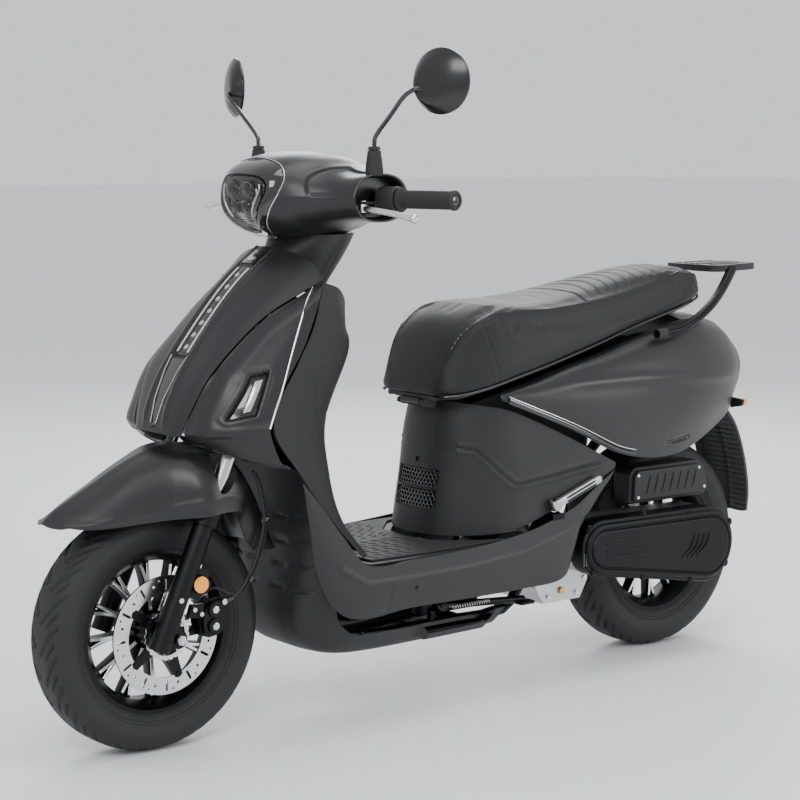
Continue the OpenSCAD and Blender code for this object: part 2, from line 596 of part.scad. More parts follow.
module handlebar() {
    color([0.1, 0.1, 0.11]) {
        along_y(bar_mid[0], bar_mid[2], -bar_half, bar_half, bar_d / 2);
        both_sides() on_bar() {
            sphere(r = bar_d / 2);
            along_y(0, 0, -bar_end + 8, 0, bar_d / 2);
        }
        on_axis() difference() {
            translate([0, 0, 766]) cylinder(h = bar_s - 766, r = stem_d / 2 + 5);
            translate([0, 0, 765]) cylinder(h = stem_s1 - 763, r = stem_d / 2 + run_gap);
        }
    }
}
function powered(c, e) = sign(c) * pow(abs(c), e);
function cowl_ring(s, inset) =
    let (x0 = (s[1] + s[2]) / 2, a = (s[2] - s[1]) / 2 - inset,
        z0 = (s[3] + s[4]) / 2, b = (s[3] - s[4]) / 2 - inset)
    [for (q = [0:18:342]) [sx(x0) + a * powered(cos(q), 0.84), s[0], z0 + b * powered(sin(q), 0.84)]];
function cowl_rings(inset, reach) =
    [for (i = [-9:9]) let (s = curve(cowl_sections, abs(i) / 9 * (len(cowl_sections) - 1)))
        cowl_ring([sign(i) * (abs(i) == 9 ? s[0] + reach : s[0]), s[1], s[2], s[3], s[4]], inset)];
neck_s0 = 716;
function neck_rings(inset, reach) =
    [for (i = [0:5]) let (s = neck_s0 + 17 * i + (i == 5 ? reach : 0), k = 0.93 + 0.014 * i * i)
        [for (q = [0:24:336]) axis_point(s, 27 + (71 * k - inset) * cos(-q),
            (64 * k - inset) * sin(-q))]];
lamp_outline = [[-74, 38], [-60, 50], [0, 56], [60, 50], [74, 38], [76, 16], [52, -30], [20, -58],
    [0, -62], [-20, -58], [-52, -30], [-76, 16]];
lamp_at = [sx(-470), 1028];
lamp_lean = 14;
module lamp_block(g, x0, x1) {
    translate([lamp_at[0], 0, lamp_at[1]]) rotate([0, lamp_lean, 0]) translate([x0, 0, 0])
        rotate([90, 0, 90]) linear_extrude(x1 - x0) offset(delta = -g) polygon(lamp_outline);
}
module headlight_cowl() {
    color([0.16, 0.16, 0.18]) difference() {
        union() {
            loft(cowl_rings(0, 0));
            loft(neck_rings(0, 0));
        }
        loft(cowl_rings(wall, 4));
        loft([for (r = neck_rings(wall, 30)) [for (p = r) p + [-0.4147, 0, -0.91] * 3]]);
        lamp_block(0, -90, 60);
        translate([sx(-263), -62, 1083]) rotate([0, 20, 0]) cube([70, 124, 70]);
        both_sides() translate([sx(-302), 192, 1060]) cylinder(h = 40, r = 9);
    }
}
module headlight_lens() {
    color([0.8, 0.85, 0.9, 0.5]) intersection() {
        difference() {
            loft(cowl_rings(0.3, 0));
            loft(cowl_rings(3, 4));
        }
        lamp_block(1, -90, 60);
    }
}
module headlight_unit() {
    color([0.5, 0.5, 0.52]) difference() {
        lamp_block(22, 34, 64);
        lamp_block(26, 30, 58);
    }
    color([0.9, 0.9, 0.92]) for (y = [-28, 28]) translate([lamp_at[0] + 58, y, lamp_at[1] + 14])
        rotate([0, -90, 0]) cylinder(h = 26, r1 = 10, r2 = 16);
}
module instrument_cluster() {
    color([0.05, 0.05, 0.055]) translate([sx(-262), -60, 1086]) rotate([0, 20, 0])
        cube([66, 120, 12]);
}
module grip(q0) {
    difference() {
        union() {
            along_y(0, 0, -bar_end + 6, -q0, grip_d / 2);
            along_y(0, 0, -q0 - 5, -q0, grip_d / 2 + 6);
            along_y(0, 0, -bar_end, -bar_end + 7, grip_d / 2 + 2);
            for (i = [0:9]) along_y(0, 0, -q0 - 16 - 11 * i, -q0 - 11 - 11 * i, grip_d / 2 + 0.8);
        }
        along_y(0, 0, -bar_end + 7, 1 - q0, bar_d / 2 + run_gap);
    }
}
grip_q = bar_end - grip_len;
module grip_left() { color([0.05, 0.05, 0.055]) on_bar() grip(grip_q); }
module throttle_grip() { color([0.05, 0.05, 0.055]) mirror([0, 1, 0]) on_bar() grip(grip_q); }

lever_pivot = [-47, -117, -17];
lever_pin_r = 4;
module switch_housing() {
    q0 = 124;
    q1 = grip_q - 3;
    difference() {
        union() {
            along_y(0, 0, -q1, -q0, 25);
            translate([-52, lever_pivot[1] - 14, -30]) cube([60, 26, 26]);
        }
        along_y(0, 0, -q1 - 1, -q0 + 40, bar_d / 2 + run_gap);
        translate([-60, lever_pivot[1] - 16, -24.8]) cube([32, 60, 15.6]);
        translate(lever_pivot - [0, 0, 20]) cylinder(h = 40, r = lever_pin_r + run_gap);
        translate([18, -152, -9]) rotate([0, 90, 0]) cylinder(h = 20, r = 6.3);
        translate([18, -161, 4]) cube([20, 22, 7]);
    }
    translate(lever_pivot - [0, 0, 13]) cylinder(h = 26, r = lever_pin_r);
}
module switch_housings() {
    color([0.06, 0.06, 0.065]) both_sides() on_bar() switch_housing();
}
module brake_lever() {
    path = route([[0, 0, 0], [-17, -30, -1], [-29, -80, -5], [-33, -122, -11], [-31, -143, -15]], 12);
    translate(lever_pivot) {
        difference() {
            union() {
                translate([0, 0, -7.5]) cylinder(h = 15, r = 10);
                sweep(path, 4.5, 6.5, 10);
            }
            translate([0, 0, -12]) cylinder(h = 24, r = lever_pin_r + run_gap);
        }
        translate([-31, -143, -15]) sphere(r = 9);
    }
}
module brake_lever_left() { color([0.75, 0.75, 0.77]) on_bar() brake_lever(); }
module brake_lever_right() { color([0.75, 0.75, 0.77]) mirror([0, 1, 0]) on_bar() brake_lever(); }
module push_button() {
    translate([20.5, -152, -9]) rotate([0, 90, 0]) cylinder(h = 8, r = 6);
}
module starter_button() { color([0.6, 0.1, 0.1]) mirror([0, 1, 0]) on_bar() push_button(); }
module horn_button() { color([0.2, 0.2, 0.2]) on_bar() push_button(); }
module turn_switch() {
    color([0.2, 0.2, 0.2]) on_bar() translate([20, -154, 4.6]) cube([9, 8, 5.8]);
}
mirror_at = [sx(-265), 340, mirror_z];
ball_at = mirror_at + [-19, -26, -14];
ball_r = 8;
module mirror_stems() {
    stem = [[-302, 192, 1092], [-302, 192, 1136], [-302, 200, 1156], [-303, 244, 1192],
        [-305, 284, mirror_z - 29], [-298, 308, mirror_z - 15], [-287, 314, mirror_z - 14]];
    color([0.05, 0.05, 0.055]) both_sides() {
        translate([sx(-302), 192, 1085.5]) cylinder(h = 40, r1 = 17, r2 = 11);
        translate([sx(-302), 192, 1125.5]) cylinder(h = 5, r = 12);
        sweep([for (p = route(stem, 20)) [sx(p[0]), p[1], p[2]]], 4.5, 4.5, 10, [1, 0, 0]);
        translate(ball_at) sphere(r = ball_r, $fn = 24);
    }
}
module mirror_head() {
    r = mirror_d / 2;
    difference() {
        translate([mirror_at[0], -mirror_at[1], mirror_at[2]]) rotate([0, 0, 18]) rotate([0, 90, 0])
            rotate_extrude() polygon([[0, -17], [r * 0.3, -16], [r * 0.6, -12], [r * 0.85, -5],
                [r * 0.97, 1], [r, 5], [r, 8], [r * 0.97, 10], [0, 10]]);
        translate([ball_at[0], -ball_at[1], ball_at[2]]) sphere(r = ball_r + 0.3, $fn = 24);
    }
}
module mirror_left() { color([0.05, 0.05, 0.055]) mirror_head(); }
module mirror_right() { color([0.05, 0.05, 0.055]) mirror([0, 1, 0]) mirror_head(); }
module front_fender() {
    color([0.16, 0.16, 0.18]) difference() {
        skin([for (r = net(whole(fender_rows), 18, 14))
            [for (p = r) p + [0, 0, front_tyre_r - 229.5]]], wall);
        on_axis() for (s = [-1, 1]) translate([-leg_lead * cos(rake), s * leg_y, 250])
            cylinder(h = 180, r = slider_d / 2 + 12);
    }
}
hose_route = [[-576, -99, 286], [-560, -101, 300], [-526, -104, 345], [-506, -104, 395],
    [-501, -105, 432], [-508, -108, 472], [-515, -112, 505], [-530, -112, 528]];
module brake_hose() {
    color([0.06, 0.06, 0.065]) sweep([for (p = route(hose_route, 24)) [sx(p[0]), p[1], p[2]]],
        4, 4, 8);
}

/* ---- fork and front wheel ---- */
collar_s = 205;
module fork_lowers() {
    color([0.05, 0.05, 0.06]) on_axis() for (s = [-1, 1])
        difference() {
            union() {
                translate([-leg_lead * cos(rake), s * leg_y, -42]) cylinder(h = collar_s + 42, r = leg_d / 2);
                translate([-leg_lead * cos(rake), s * leg_y, collar_s]) cylinder(h = 34, r = leg_d / 2 + 7);
                translate([-leg_lead * cos(rake), s * (leg_y + 10), axle_s]) rotate([-90 * s, 0, 0])
                    translate([0, 0, -26]) cylinder(h = 20, r = 10);
                translate([-leg_lead * cos(rake), s * leg_y - 10, axle_s - 18])
                    cube([(leg_lead - axis_lead) * cos(rake) + 2, 20, 36]);
                translate([axle_x, s * leg_y - 10, axle_s]) rotate([-90, 0, 0]) cylinder(h = 20, r = 18);
            }
            translate([-leg_lead * cos(rake), s * leg_y, -8])
                cylinder(h = collar_s + 60, r = slider_d / 2 + run_gap);
            translate([axle_x, s * leg_y - 11, axle_s]) rotate([-90, 0, 0])
                cylinder(h = 22, r = axle_r + run_gap);
        }
    color([0.6, 0.6, 0.62]) along_y(front_x, front_tyre_r, -leg_y - 16, leg_y + 16, axle_r);
    color([0.05, 0.05, 0.06]) translate([0, -leg_y, 0]) on_axis()
        translate([-leg_lead * cos(rake) + leg_d / 2 - 1, -6, 70]) cube([26, 12, 60]);
    color([0.95, 0.55, 0.05]) translate([0, -leg_y - 10, 0]) on_axis()
        translate([-leg_lead * cos(rake) + leg_d / 2 + 12, 0, 100]) rotate([90, 0, 0])
            cylinder(h = 8, r = 17);
}
disc_y = -68;
caliper_at = [sx(-606), 254];
module front_caliper() {
    color([0.07, 0.07, 0.075]) difference() {
        union() {
            translate([caliper_at[0] - 26, disc_y - 30, caliper_at[1] - 36]) cube([50, 46, 72]);
            for (dz = [-17, 17]) along_y(caliper_at[0], caliper_at[1] + dz, disc_y - 36, disc_y - 30, 15);
            translate([caliper_at[0] - 62, disc_y - 28, caliper_at[1] + 6]) cube([40, 10, 24]);
        }
        along_y(front_x, front_tyre_r, disc_y - disc_t / 2 - 3, disc_y + disc_t / 2 + 3, disc_r + 3);
    }
}
// Tyre section: bead, bulging wall, shoulder and a flat running band
function tyre_outline(r, w, b) = [
    [b + 0.2, -w * 0.316], [b + 10.6, -w * 0.316], [b + 15, -w * 0.4],
    [(b + r) / 2 - 4, -w * 0.485], [(b + r) / 2 + 8, -w * 0.5],
    [r - 22, -w * 0.478], [r - 11, -w * 0.41], [r - 4, -w * 0.31], [r, -w * 0.2],
    [r, w * 0.2], [r - 4, w * 0.31], [r - 11, w * 0.41], [r - 22, w * 0.478],
    [(b + r) / 2 + 8, w * 0.5], [(b + r) / 2 - 4, w * 0.485], [b + 15, w * 0.4],
    [b + 10.6, w * 0.316], [b + 0.2, w * 0.316],
    [b + 4, w * 0.27], [(b + r) / 2, w * 0.42], [r - 15, w * 0.4], [r - 9, 0],
    [r - 15, -w * 0.4], [(b + r) / 2, -w * 0.42], [b + 4, -w * 0.27]];
module tyre(x, r, w) {
    translate([x, 0, r]) rotate([90, 0, 0]) rotate_extrude($fn = 96) polygon(tyre_outline(r, w, bead_r));
}
module front_tyre() { color([0.05, 0.05, 0.055]) tyre(front_x, front_tyre_r, front_tyre_w); }
module rear_tyre() { color([0.05, 0.05, 0.055]) tyre(rear_x, rear_tyre_r, rear_tyre_w); }
module rim(x, z, w, hub_y0, hub_y1, hub_r, bore_r) {
    h = w * 0.32;
    translate([x, 0, z]) {
        rotate([90, 0, 0]) rotate_extrude($fn = 96) polygon([[bead_r + 10, -h - 3], [bead_r + 10, -h],
            [bead_r, -h], [bead_r, -h + 14], [bead_r - 16, -h + 20], [bead_r - 16, h - 20],
            [bead_r, h - 14], [bead_r, h], [bead_r + 10, h], [bead_r + 10, h + 3],
            [bead_r - 3, h + 3], [bead_r - 20, h - 16], [bead_r - 20, -h + 16], [bead_r - 3, -h - 3]]);
        for (i = [0:spoke_n - 1]) rotate([0, i * 360 / spoke_n, 0])
            translate([hub_r - 4, -7, -5]) cube([bead_r - 18 - hub_r + 4, 14, 10]);
        difference() {
            rotate([90, 0, 0]) translate([0, 0, -hub_y1]) cylinder(h = hub_y1 - hub_y0, r = hub_r);
            rotate([90, 0, 0]) translate([0, 0, -hub_y1 - 1])
                cylinder(h = hub_y1 - hub_y0 + 2, r = bore_r + run_gap);
        }
    }
}
module front_rim() {
    color([0.08, 0.08, 0.085]) rim(front_x, front_tyre_r, front_tyre_w, -60, 66, 34, axle_r);
}
disc_in = disc_r - 33;
module front_disc() {
    color([0.8, 0.8, 0.82]) translate([front_x, disc_y, front_tyre_r]) rotate([90, 0, 0])
        translate([0, 0, -disc_t / 2]) difference() {
            linear_extrude(disc_t) difference() {
                circle(r = disc_r, $fn = 96);
                circle(r = disc_in, $fn = 96);
                for (i = [0:11]) rotate(i * 30) translate([disc_r - 18, 0]) circle(r = 3, $fn = 16);
            }
        }
    color([0.06, 0.06, 0.065]) translate([front_x, disc_y, front_tyre_r]) rotate([90, 0, 0])
        translate([0, 0, -disc_t / 2]) difference() {
            union() {
                linear_extrude(disc_t) for (i = [0:4]) rotate(i * 72)
                    translate([20, -9]) square([disc_in - 20 - 0.2, 18]);
                translate([0, 0, -5]) cylinder(h = disc_t + 5, r = 33);
            }
            translate([0, 0, -6]) cylinder(h = disc_t + 8, r = axle_r + 6);
        }
}

/* ---- engine unit and rear wheel ---- */
crank = [sx(331), 280];
clutch = [sx(650), 250];
case_y = -130;
shaft_r = 8;
module engine_case() {
    color([0.72, 0.72, 0.73]) difference() {
        union() {
            plate_y([[sx(226), 296], [sx(226), 190], [sx(250), 152], [sx(356), 152], [sx(378), 190],
                [sx(382), 300], [sx(350), 322], [sx(262), 322]], -72, 72);
            for (s = [-1, 1]) plate_y([[sx(215), 330], [sx(228), 356], [sx(246), 354], [sx(300), 318],
                [sx(235), 300]], s > 0 ? 40 : -58, s > 0 ? 58 : -40);
            translate([sx(112), -42, 206]) cube([sx(228) - sx(112), 84, 84]);
            for (i = [0:5]) translate([sx(116) + i * 16, -52, 198]) cube([6, 104, 100]);
            translate([sx(74), -46, 204]) cube([36, 92, 88]);
            long_round(crank, 60, clutch, cover_r - 2, case_y, -72);
            along_y(rear_x, rear_tyre_r, -73, -44, 60);
            plate_y([[sx(300), 300], [sx(376), 305], [sx(560), 290], [sx(684), 352], [sx(712), 350],
                [sx(714), 322], [sx(660), 220], [sx(640), 208], [sx(380), 190], [sx(300), 190]], 68, 80);
            along_y(shock_low[0], shock_low[2], 79, 112, shock_pin_r);
        }
        long_round(crank, 55, clutch, cover_r - 7, case_y - 1, -84);
        along_y(pivot[0], pivot[1], -60, 60, swing_pin_r + run_gap);
        along_y(rear_x, rear_tyre_r, -66, 90, shaft_r + run_gap);
        along_y(crank[0], crank[1], -90, -60, shaft_r + run_gap);
        along_y(clutch[0], clutch[1], -90, -76, shaft_r + run_gap);
    }
}
module cvt_cover() {
    y0 = case_y - cover_depth;
    color([0.1, 0.1, 0.11]) difference() {
        union() {
            long_round(crank, 62, clutch, cover_r, y0 + 8, case_y - 0.2);
            long_round(crank, 54, clutch, cover_r - 8, y0, y0 + 8.5);
            long_round(crank + [14, 0], 33, clutch - [14, 3], cover_r - 36, y0 - 2.5, y0 + 3);
        }
        long_round(crank, 57, clutch, cover_r - 6, y0 + 12, case_y);
    }
}
module airbox() {
    color([0.09, 0.09, 0.095]) difference() {
        plate_y([[sx(452), 352], [sx(690), 350], [sx(704), 370], [sx(690), 420], [sx(668), 434],
            [sx(470), 436], [sx(456), 422]], -132, -70);
        plate_y([[sx(456), 356], [sx(687), 354], [sx(699), 372], [sx(686), 417], [sx(666), 430],
            [sx(473), 432], [sx(460), 419]], -128, -74);
    }
}
module exhaust() {
    pipe = [[90, 12, 203.6], [90, 12, 198], [90, 13, 190], [104, 30, 172], [150, 70, 163],
        [250, 100, 160], [340, 108, 166], [452, 138, 190]];
    color([0.12, 0.12, 0.125]) {
        sweep([for (p = route(pipe, 21)) [sx(p[0]), p[1], p[2]]], 14, 14, 12);
        bar([sx(444), 142, 188], [sx(752), 142, 262], muffler_r);
        bar([sx(752), 142, 262], [sx(772), 142, 267], 14);
    }
}
module sheaves(at, r, tilt) {
    translate([at[0], 0, at[1]]) rotate([90, 0, 0]) rotate_extrude() polygon([[0, 86], [shaft_r, 86],
        [shaft_r, 97], [r, 97], [r, 99], [20, 99 + tilt], [20, 133 - tilt], [r, 133], [r, 135],
        [shaft_r, 142], [shaft_r, 152], [0, 152]]);
}
module variator() { color([0.7, 0.7, 0.72]) sheaves(crank, 48, 8); }
module clutch_pulley() {
    color([0.7, 0.7, 0.72]) {
        sheaves(clutch, 66, 6);
        ring_y(clutch[0], clutch[1], -160, -143, 62, 8.5);
    }
}
belt_front_r = 28;
belt_rear_r = 56;
module drive_belt() {
    color([0.06, 0.06, 0.06]) difference() {
        long_round(crank, belt_front_r + 8, clutch, belt_rear_r + 8, -124, -108);
        long_round(crank, belt_front_r, clutch, belt_rear_r, -130, -100);
    }
}
module rear_rim() {
    color([0.08, 0.08, 0.085]) rim(rear_x, rear_tyre_r, rear_tyre_w, -40, 66, 44, shaft_r);
    color([0.6, 0.6, 0.62]) along_y(rear_x, rear_tyre_r, -60, 92, shaft_r);
}

/* ---- rear shock absorber ---- */
shock_len = norm(shock_low - shock_top);
shock_angle = atan2(shock_low[0] - shock_top[0], shock_top[2] - shock_low[2]);
// Local z runs from the upper eye down to the lower eye
module on_shock() {
    translate(shock_top) rotate([0, 180 - shock_angle, 0]) children();
}
module shock_upper() {
    color([0.12, 0.12, 0.13]) on_shock() difference() {
        union() {
            rotate([90, 0, 0]) translate([0, 0, -11]) cylinder(h = 22, r = 13);
            translate([0, 0, 8]) cylinder(h = 22, r = 12);
            translate([0, 0, 26]) cylinder(h = 6, r = 28);
            translate([0, 0, 30]) cylinder(h = shock_len - 110, r = 6);
        }
        rotate([90, 0, 0]) translate([0, 0, -12]) cylinder(h = 24, r = shock_pin_r + run_gap);
    }
}
module shock_lower() {
    color([0.3, 0.3, 0.31]) on_shock() difference() {
        union() {
            translate([0, 0, shock_len]) rotate([90, 0, 0]) translate([0, 0, -11]) cylinder(h = 22, r = 14);
            translate([0, 0, 130]) cylinder(h = shock_len - 138, r = 16);
            translate([0, 0, shock_len - 60]) cylinder(h = 6, r = 28);
        }
        translate([0, 0, shock_len]) rotate([90, 0, 0]) translate([0, 0, -12])
            cylinder(h = 24, r = shock_pin_r + 2.5);
        translate([0, 0, 120]) cylinder(h = shock_len - 145, r = 6 + run_gap);
    }
}
spring_turns = 7;
module shock_spring() {
    z0 = 36;
    z1 = shock_len - 64;
    n = spring_turns * 12;
    color([0.6, 0.1, 0.1]) on_shock() sweep([for (i = [0:n]) let (q = 30 * i)
        [23 * cos(q), 23 * sin(q), z0 + (z1 - z0) * i / n]], 3, 3, 6);
}

main_frame();
front_apron();
front_lamps();
leg_shields();
inner_shield();
floorboard();
floor_mat();
side_skirts();
belly_pan();
underseat_cover();
side_covers();
rear_lamps();
rear_mudguard();
grab_rail();
storage_bucket();
fuel_tank();
battery();
body_bolts();
ignition_lock();
seat_cushion();
seat_base();
side_stand();
peg_left();
peg_right();
steering_stem();
handlebar();
headlight_cowl();
headlight_lens();
headlight_unit();
instrument_cluster();
grip_left();
switch_housings();
mirror_stems();
front_fender();
brake_hose();
throttle_grip();
brake_lever_left();
brake_lever_right();
starter_button();
horn_button();
turn_switch();
mirror_left();
mirror_right();
fork_lowers();
front_caliper();
front_tyre();
front_rim();
front_disc();
engine_case();
cvt_cover();
airbox();
exhaust();
variator();
clutch_pulley();
drive_belt();
rear_tyre();
rear_rim();
shock_upper();
shock_lower();
shock_spring();
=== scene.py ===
import json
import math
import bmesh
import bpy
import numpy as np
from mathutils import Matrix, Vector


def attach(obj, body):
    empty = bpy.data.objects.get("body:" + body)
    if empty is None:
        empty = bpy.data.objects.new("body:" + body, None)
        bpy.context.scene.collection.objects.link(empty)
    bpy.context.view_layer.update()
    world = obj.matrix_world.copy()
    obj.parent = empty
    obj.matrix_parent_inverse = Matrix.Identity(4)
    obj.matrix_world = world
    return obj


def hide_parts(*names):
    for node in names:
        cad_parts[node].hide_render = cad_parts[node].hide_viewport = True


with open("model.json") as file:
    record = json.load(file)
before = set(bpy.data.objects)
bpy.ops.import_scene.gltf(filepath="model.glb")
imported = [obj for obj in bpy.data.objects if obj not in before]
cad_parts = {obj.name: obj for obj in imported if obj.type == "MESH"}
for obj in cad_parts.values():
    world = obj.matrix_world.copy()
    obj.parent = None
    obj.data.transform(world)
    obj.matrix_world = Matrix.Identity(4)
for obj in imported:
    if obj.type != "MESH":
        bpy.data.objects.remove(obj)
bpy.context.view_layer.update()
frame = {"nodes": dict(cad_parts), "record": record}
NODES = frame["nodes"]

# ---------------------------------------------------------------- camera and light
# A long lens stands off the left front, a little above the lamp, and looks slightly down
# on the whole machine.
camera_data = bpy.data.cameras.new("camera")
camera_data.lens = 92.04
camera_data.sensor_width = 36.0
camera = bpy.data.objects.new("camera", camera_data)
bpy.context.scene.collection.objects.link(camera)
camera.location = (-2.675, -3.263, 1.152)
yaw, pitch = math.radians(38.41), math.radians(7.34)
aim = Vector((math.sin(yaw) * math.cos(pitch), math.cos(yaw) * math.cos(pitch), -math.sin(pitch)))
camera.rotation_euler = aim.to_track_quat("-Z", "Y").to_euler()
bpy.context.scene.camera = camera

# ---------------------------------------------------------------- front apron
# The painted front panel. It carries a clear light strip down its middle in a shallow bed, and a
# gloss black tail under the strip that narrows to the lower edge.


class Value:
    """A shader value: arithmetic on it makes Math nodes in the material's tree."""

    def __init__(self, mat, socket):
        self.mat = mat
        self.socket = socket

    def _op(self, kind, other=None, third=None, swap=False):
        values = [self, other] if not swap else [other, self]
        return self.mat.math(kind, *[v for v in values + [third] if v is not None])

    def __add__(self, o):
        return self._op("ADD", o)

    def __radd__(self, o):
        return self._op("ADD", o, swap=True)

    def __sub__(self, o):
        return self._op("SUBTRACT", o)

    def __rsub__(self, o):
        return self._op("SUBTRACT", o, swap=True)

    def __mul__(self, o):
        return self._op("MULTIPLY", o)

    def __rmul__(self, o):
        return self._op("MULTIPLY", o, swap=True)

    def __truediv__(self, o):
        return self._op("DIVIDE", o)

    def __rtruediv__(self, o):
        return self._op("DIVIDE", o, swap=True)

    def clamp(self, low=0.0, high=1.0):
        return self._op("MAXIMUM", low)._op("MINIMUM", high)

    def ramp(self, low, high):
        """Zero below low, one above high, smooth between."""
        return self.mat.step(self, low, high)


class Material:
    """A procedural material built on one Principled shader."""

    def __init__(self, name, color, roughness, metallic=0.0, **inputs):
        self.data = bpy.data.materials.new(name)
        self.data.use_nodes = True
        self.tree = self.data.node_tree
        self.shader = self.tree.nodes["Principled BSDF"]
        self.set("Base Color", (*color, 1.0))
        self.set("Roughness", roughness)
        self.set("Metallic", metallic)
        for key, value in inputs.items():
            self.set(key.replace("_", " ").title().replace("Ior", "IOR"), value)

    def set(self, name, value):
        socket = self.shader.inputs[name]
        if isinstance(value, Value):
            self.tree.links.new(value.socket, socket)
        else:
            socket.default_value = value

    def node(self, kind, out, **settings):
        n = self.tree.nodes.new(kind)
        for key, value in settings.items():
            if key.startswith("in_"):
                self.feed(n, key[3:], value)
            else:
                setattr(n, key, value)
        return Value(self, n.outputs[out])

    def feed(self, n, name, value):
        socket = n.inputs[int(name)] if name.isdigit() else n.inputs[name.replace("_", " ")]
        if isinstance(value, Value):
            self.tree.links.new(value.socket, socket)
        else:
            socket.default_value = value

    def math(self, kind, *values):
        n = self.tree.nodes.new("ShaderNodeMath")
        n.operation = kind
        for i, v in enumerate(values):
            self.feed(n, str(i), v)
        return Value(self, n.outputs[0])

    def step(self, value, low, high):
        return self.node("ShaderNodeMapRange", "Result", interpolation_type="SMOOTHSTEP",
                         in_Value=value, in_From_Min=low, in_From_Max=high)

    def where(self):
        return self.node("ShaderNodeTexCoord", "Object")

    def noise(self, scale, detail=3.0, at=None):
        return self.node("ShaderNodeTexNoise", "Fac", in_Vector=at or self.where(),
                         in_Scale=scale, in_Detail=detail)

    def mix(self, fac, a, b):
        n = self.tree.nodes.new("ShaderNodeMix")
        n.data_type = "RGBA"
        self.feed(n, "0", fac)
        for i, c in ((6, a), (7, b)):
            self.feed(n, str(i), c if isinstance(c, Value) else (*c, 1.0))
        return Value(self, n.outputs[2])

    def bump(self, height, distance, strength=1.0):
        self.set("Normal", self.node("ShaderNodeBump", "Normal", in_Height=height,
                                     in_Distance=distance, in_Strength=strength))


def paint():
    """Satin dark graphite paint under clear coat, with a very fine metallic grain."""
    m = Material("body_paint", (0.016, 0.016, 0.019), 0.40, 0.30, coat_weight=0.12, coat_roughness=0.25)
    m.set("Roughness", 0.37 + 0.08 * m.noise(9.0, 2.0))
    grain = m.noise(2600.0, 1.0)
    m.set("Base Color", m.mix(grain.ramp(0.45, 0.75), (0.010, 0.010, 0.012), (0.030, 0.030, 0.034)))
    return m.data


def metal(name, color, roughness, scale, depth):
    """Cast or machined metal with a slightly uneven finish."""
    m = Material(name, color, roughness, 1.0)
    m.bump(m.noise(scale, 4.0), depth, 0.5)
    m.set("Roughness", roughness + 0.16 * (m.noise(30.0, 4.0) - 0.5))
    return m.data


def clear(name, color, roughness, opacity=0.14):
    """Clear moulded lens plastic."""
    m = Material(name, color, roughness, ior=1.49, alpha=opacity)
    return m.data


def spline(points, t):
    """Catmull-Rom curve through points, read at t from 0 to 1."""
    p = np.asarray(points, float)
    last = len(p) - 1
    p = np.concatenate([[2 * p[0] - p[1]], p, [2 * p[-1] - p[-2]]])
    s = np.clip(np.asarray(t) * last, 0, last - 1e-9)
    i = s.astype(int)
    f = (s - i).reshape((-1,) + (1,) * (p.ndim - 1))
    a, b, c, d = p[i], p[i + 1], p[i + 2], p[i + 3]
    return 0.5 * (2 * b + (c - a) * f + (2 * a - 5 * b + 4 * c - d) * f**2 + (3 * b - a - 3 * c + d) * f**3)


def net(rows, nu, nv, whole=False, side=1, u=(0, 1), v=(0, 1)):
    """Smooth grid through rows of control points, each [x, half width, z]."""
    g = np.array(rows, float) / 1000
    if whole:
        g = np.concatenate([g[:, :0:-1] * [1, -1, 1], g], axis=1)
    g = spline(g.transpose(1, 0, 2), np.linspace(*v, nv + 1))
    return spline(g.transpose(1, 0, 2), np.linspace(*u, nu + 1)) * [1, side, 1]


def normals(g):
    """Unit normals of a grid: the u tangent crossed with the v tangent."""
    n = np.cross(np.gradient(g, axis=0), np.gradient(g, axis=1))
    return n / np.maximum(np.linalg.norm(n, axis=-1, keepdims=True), 1e-12)


def grid_faces(m, n, wrap=False):
    """Quads of an m by n grid of points, closed along the second way if wrap is set."""
    i, j = np.meshgrid(np.arange(m - 1), np.arange(n if wrap else n - 1), indexing="ij")
    k = (j + 1) % n
    return np.stack([i * n + j, (i + 1) * n + j, (i + 1) * n + k, i * n + k], -1).reshape(-1, 4)


def shell(g, t, raised=None, flip=False):
    """Closed skin of thickness t under a grid, with raised added along the normal."""
    if flip:
        g = g[:, ::-1]
    if raised is not None:
        g = g + normals(g) * raised(g)[..., None]
    m, n = g.shape[:2]
    back = g - normals(g) * t
    rim = np.concatenate([np.arange(n), np.arange(1, m) * n + n - 1, (m - 1) * n + np.arange(n - 2, -1, -1),
                          np.arange(m - 2, 0, -1) * n])
    nxt = np.roll(rim, -1)
    top = grid_faces(m, n)
    faces = np.concatenate([top, top[:, ::-1] + m * n,
                            np.stack([rim, nxt, nxt + m * n, rim + m * n], -1)])
    return np.concatenate([g.reshape(-1, 3), back.reshape(-1, 3)]), faces


def tube(rings, cap=True):
    """Closed surface through rings of points, ends filled."""
    rings = np.asarray(rings, float)
    m, n = rings.shape[:2]
    faces = [tuple(f) for f in grid_faces(m, n, True)[:, ::-1]]
    if cap:
        faces += [tuple(range(n)), tuple(range(m * n - 1, (m - 1) * n - 1, -1))]
    return rings.reshape(-1, 3), faces


def sweep(path, profile, up=(0, 0, 1), scale=None):
    """A profile of (sideways, upwards) points carried along a path; scale can vary along it."""
    p = np.asarray(path, float)
    d = np.gradient(p, axis=0)
    d /= np.linalg.norm(d, axis=1, keepdims=True)
    s = np.cross(d, up)
    s /= np.linalg.norm(s, axis=1, keepdims=True)
    w = np.cross(s, d)
    k = np.ones(len(p)) if scale is None else np.asarray(scale)
    prof = np.asarray(profile, float)
    rings = p[:, None] + (s[:, None] * prof[None, :, :1] + w[:, None] * prof[None, :, 1:]) * k[:, None, None]
    return tube(rings)


def oval(a, b, n=16, power=1.0):
    """Points of an ellipse or, for powers under 1, a rounded rectangle, counter-clockwise."""
    q = np.linspace(0, 2 * math.pi, n, endpoint=False)
    c, s = np.cos(q), np.sin(q)
    return np.stack([a * np.sign(c) * abs(c) ** power, b * np.sign(s) * abs(s) ** power], -1)


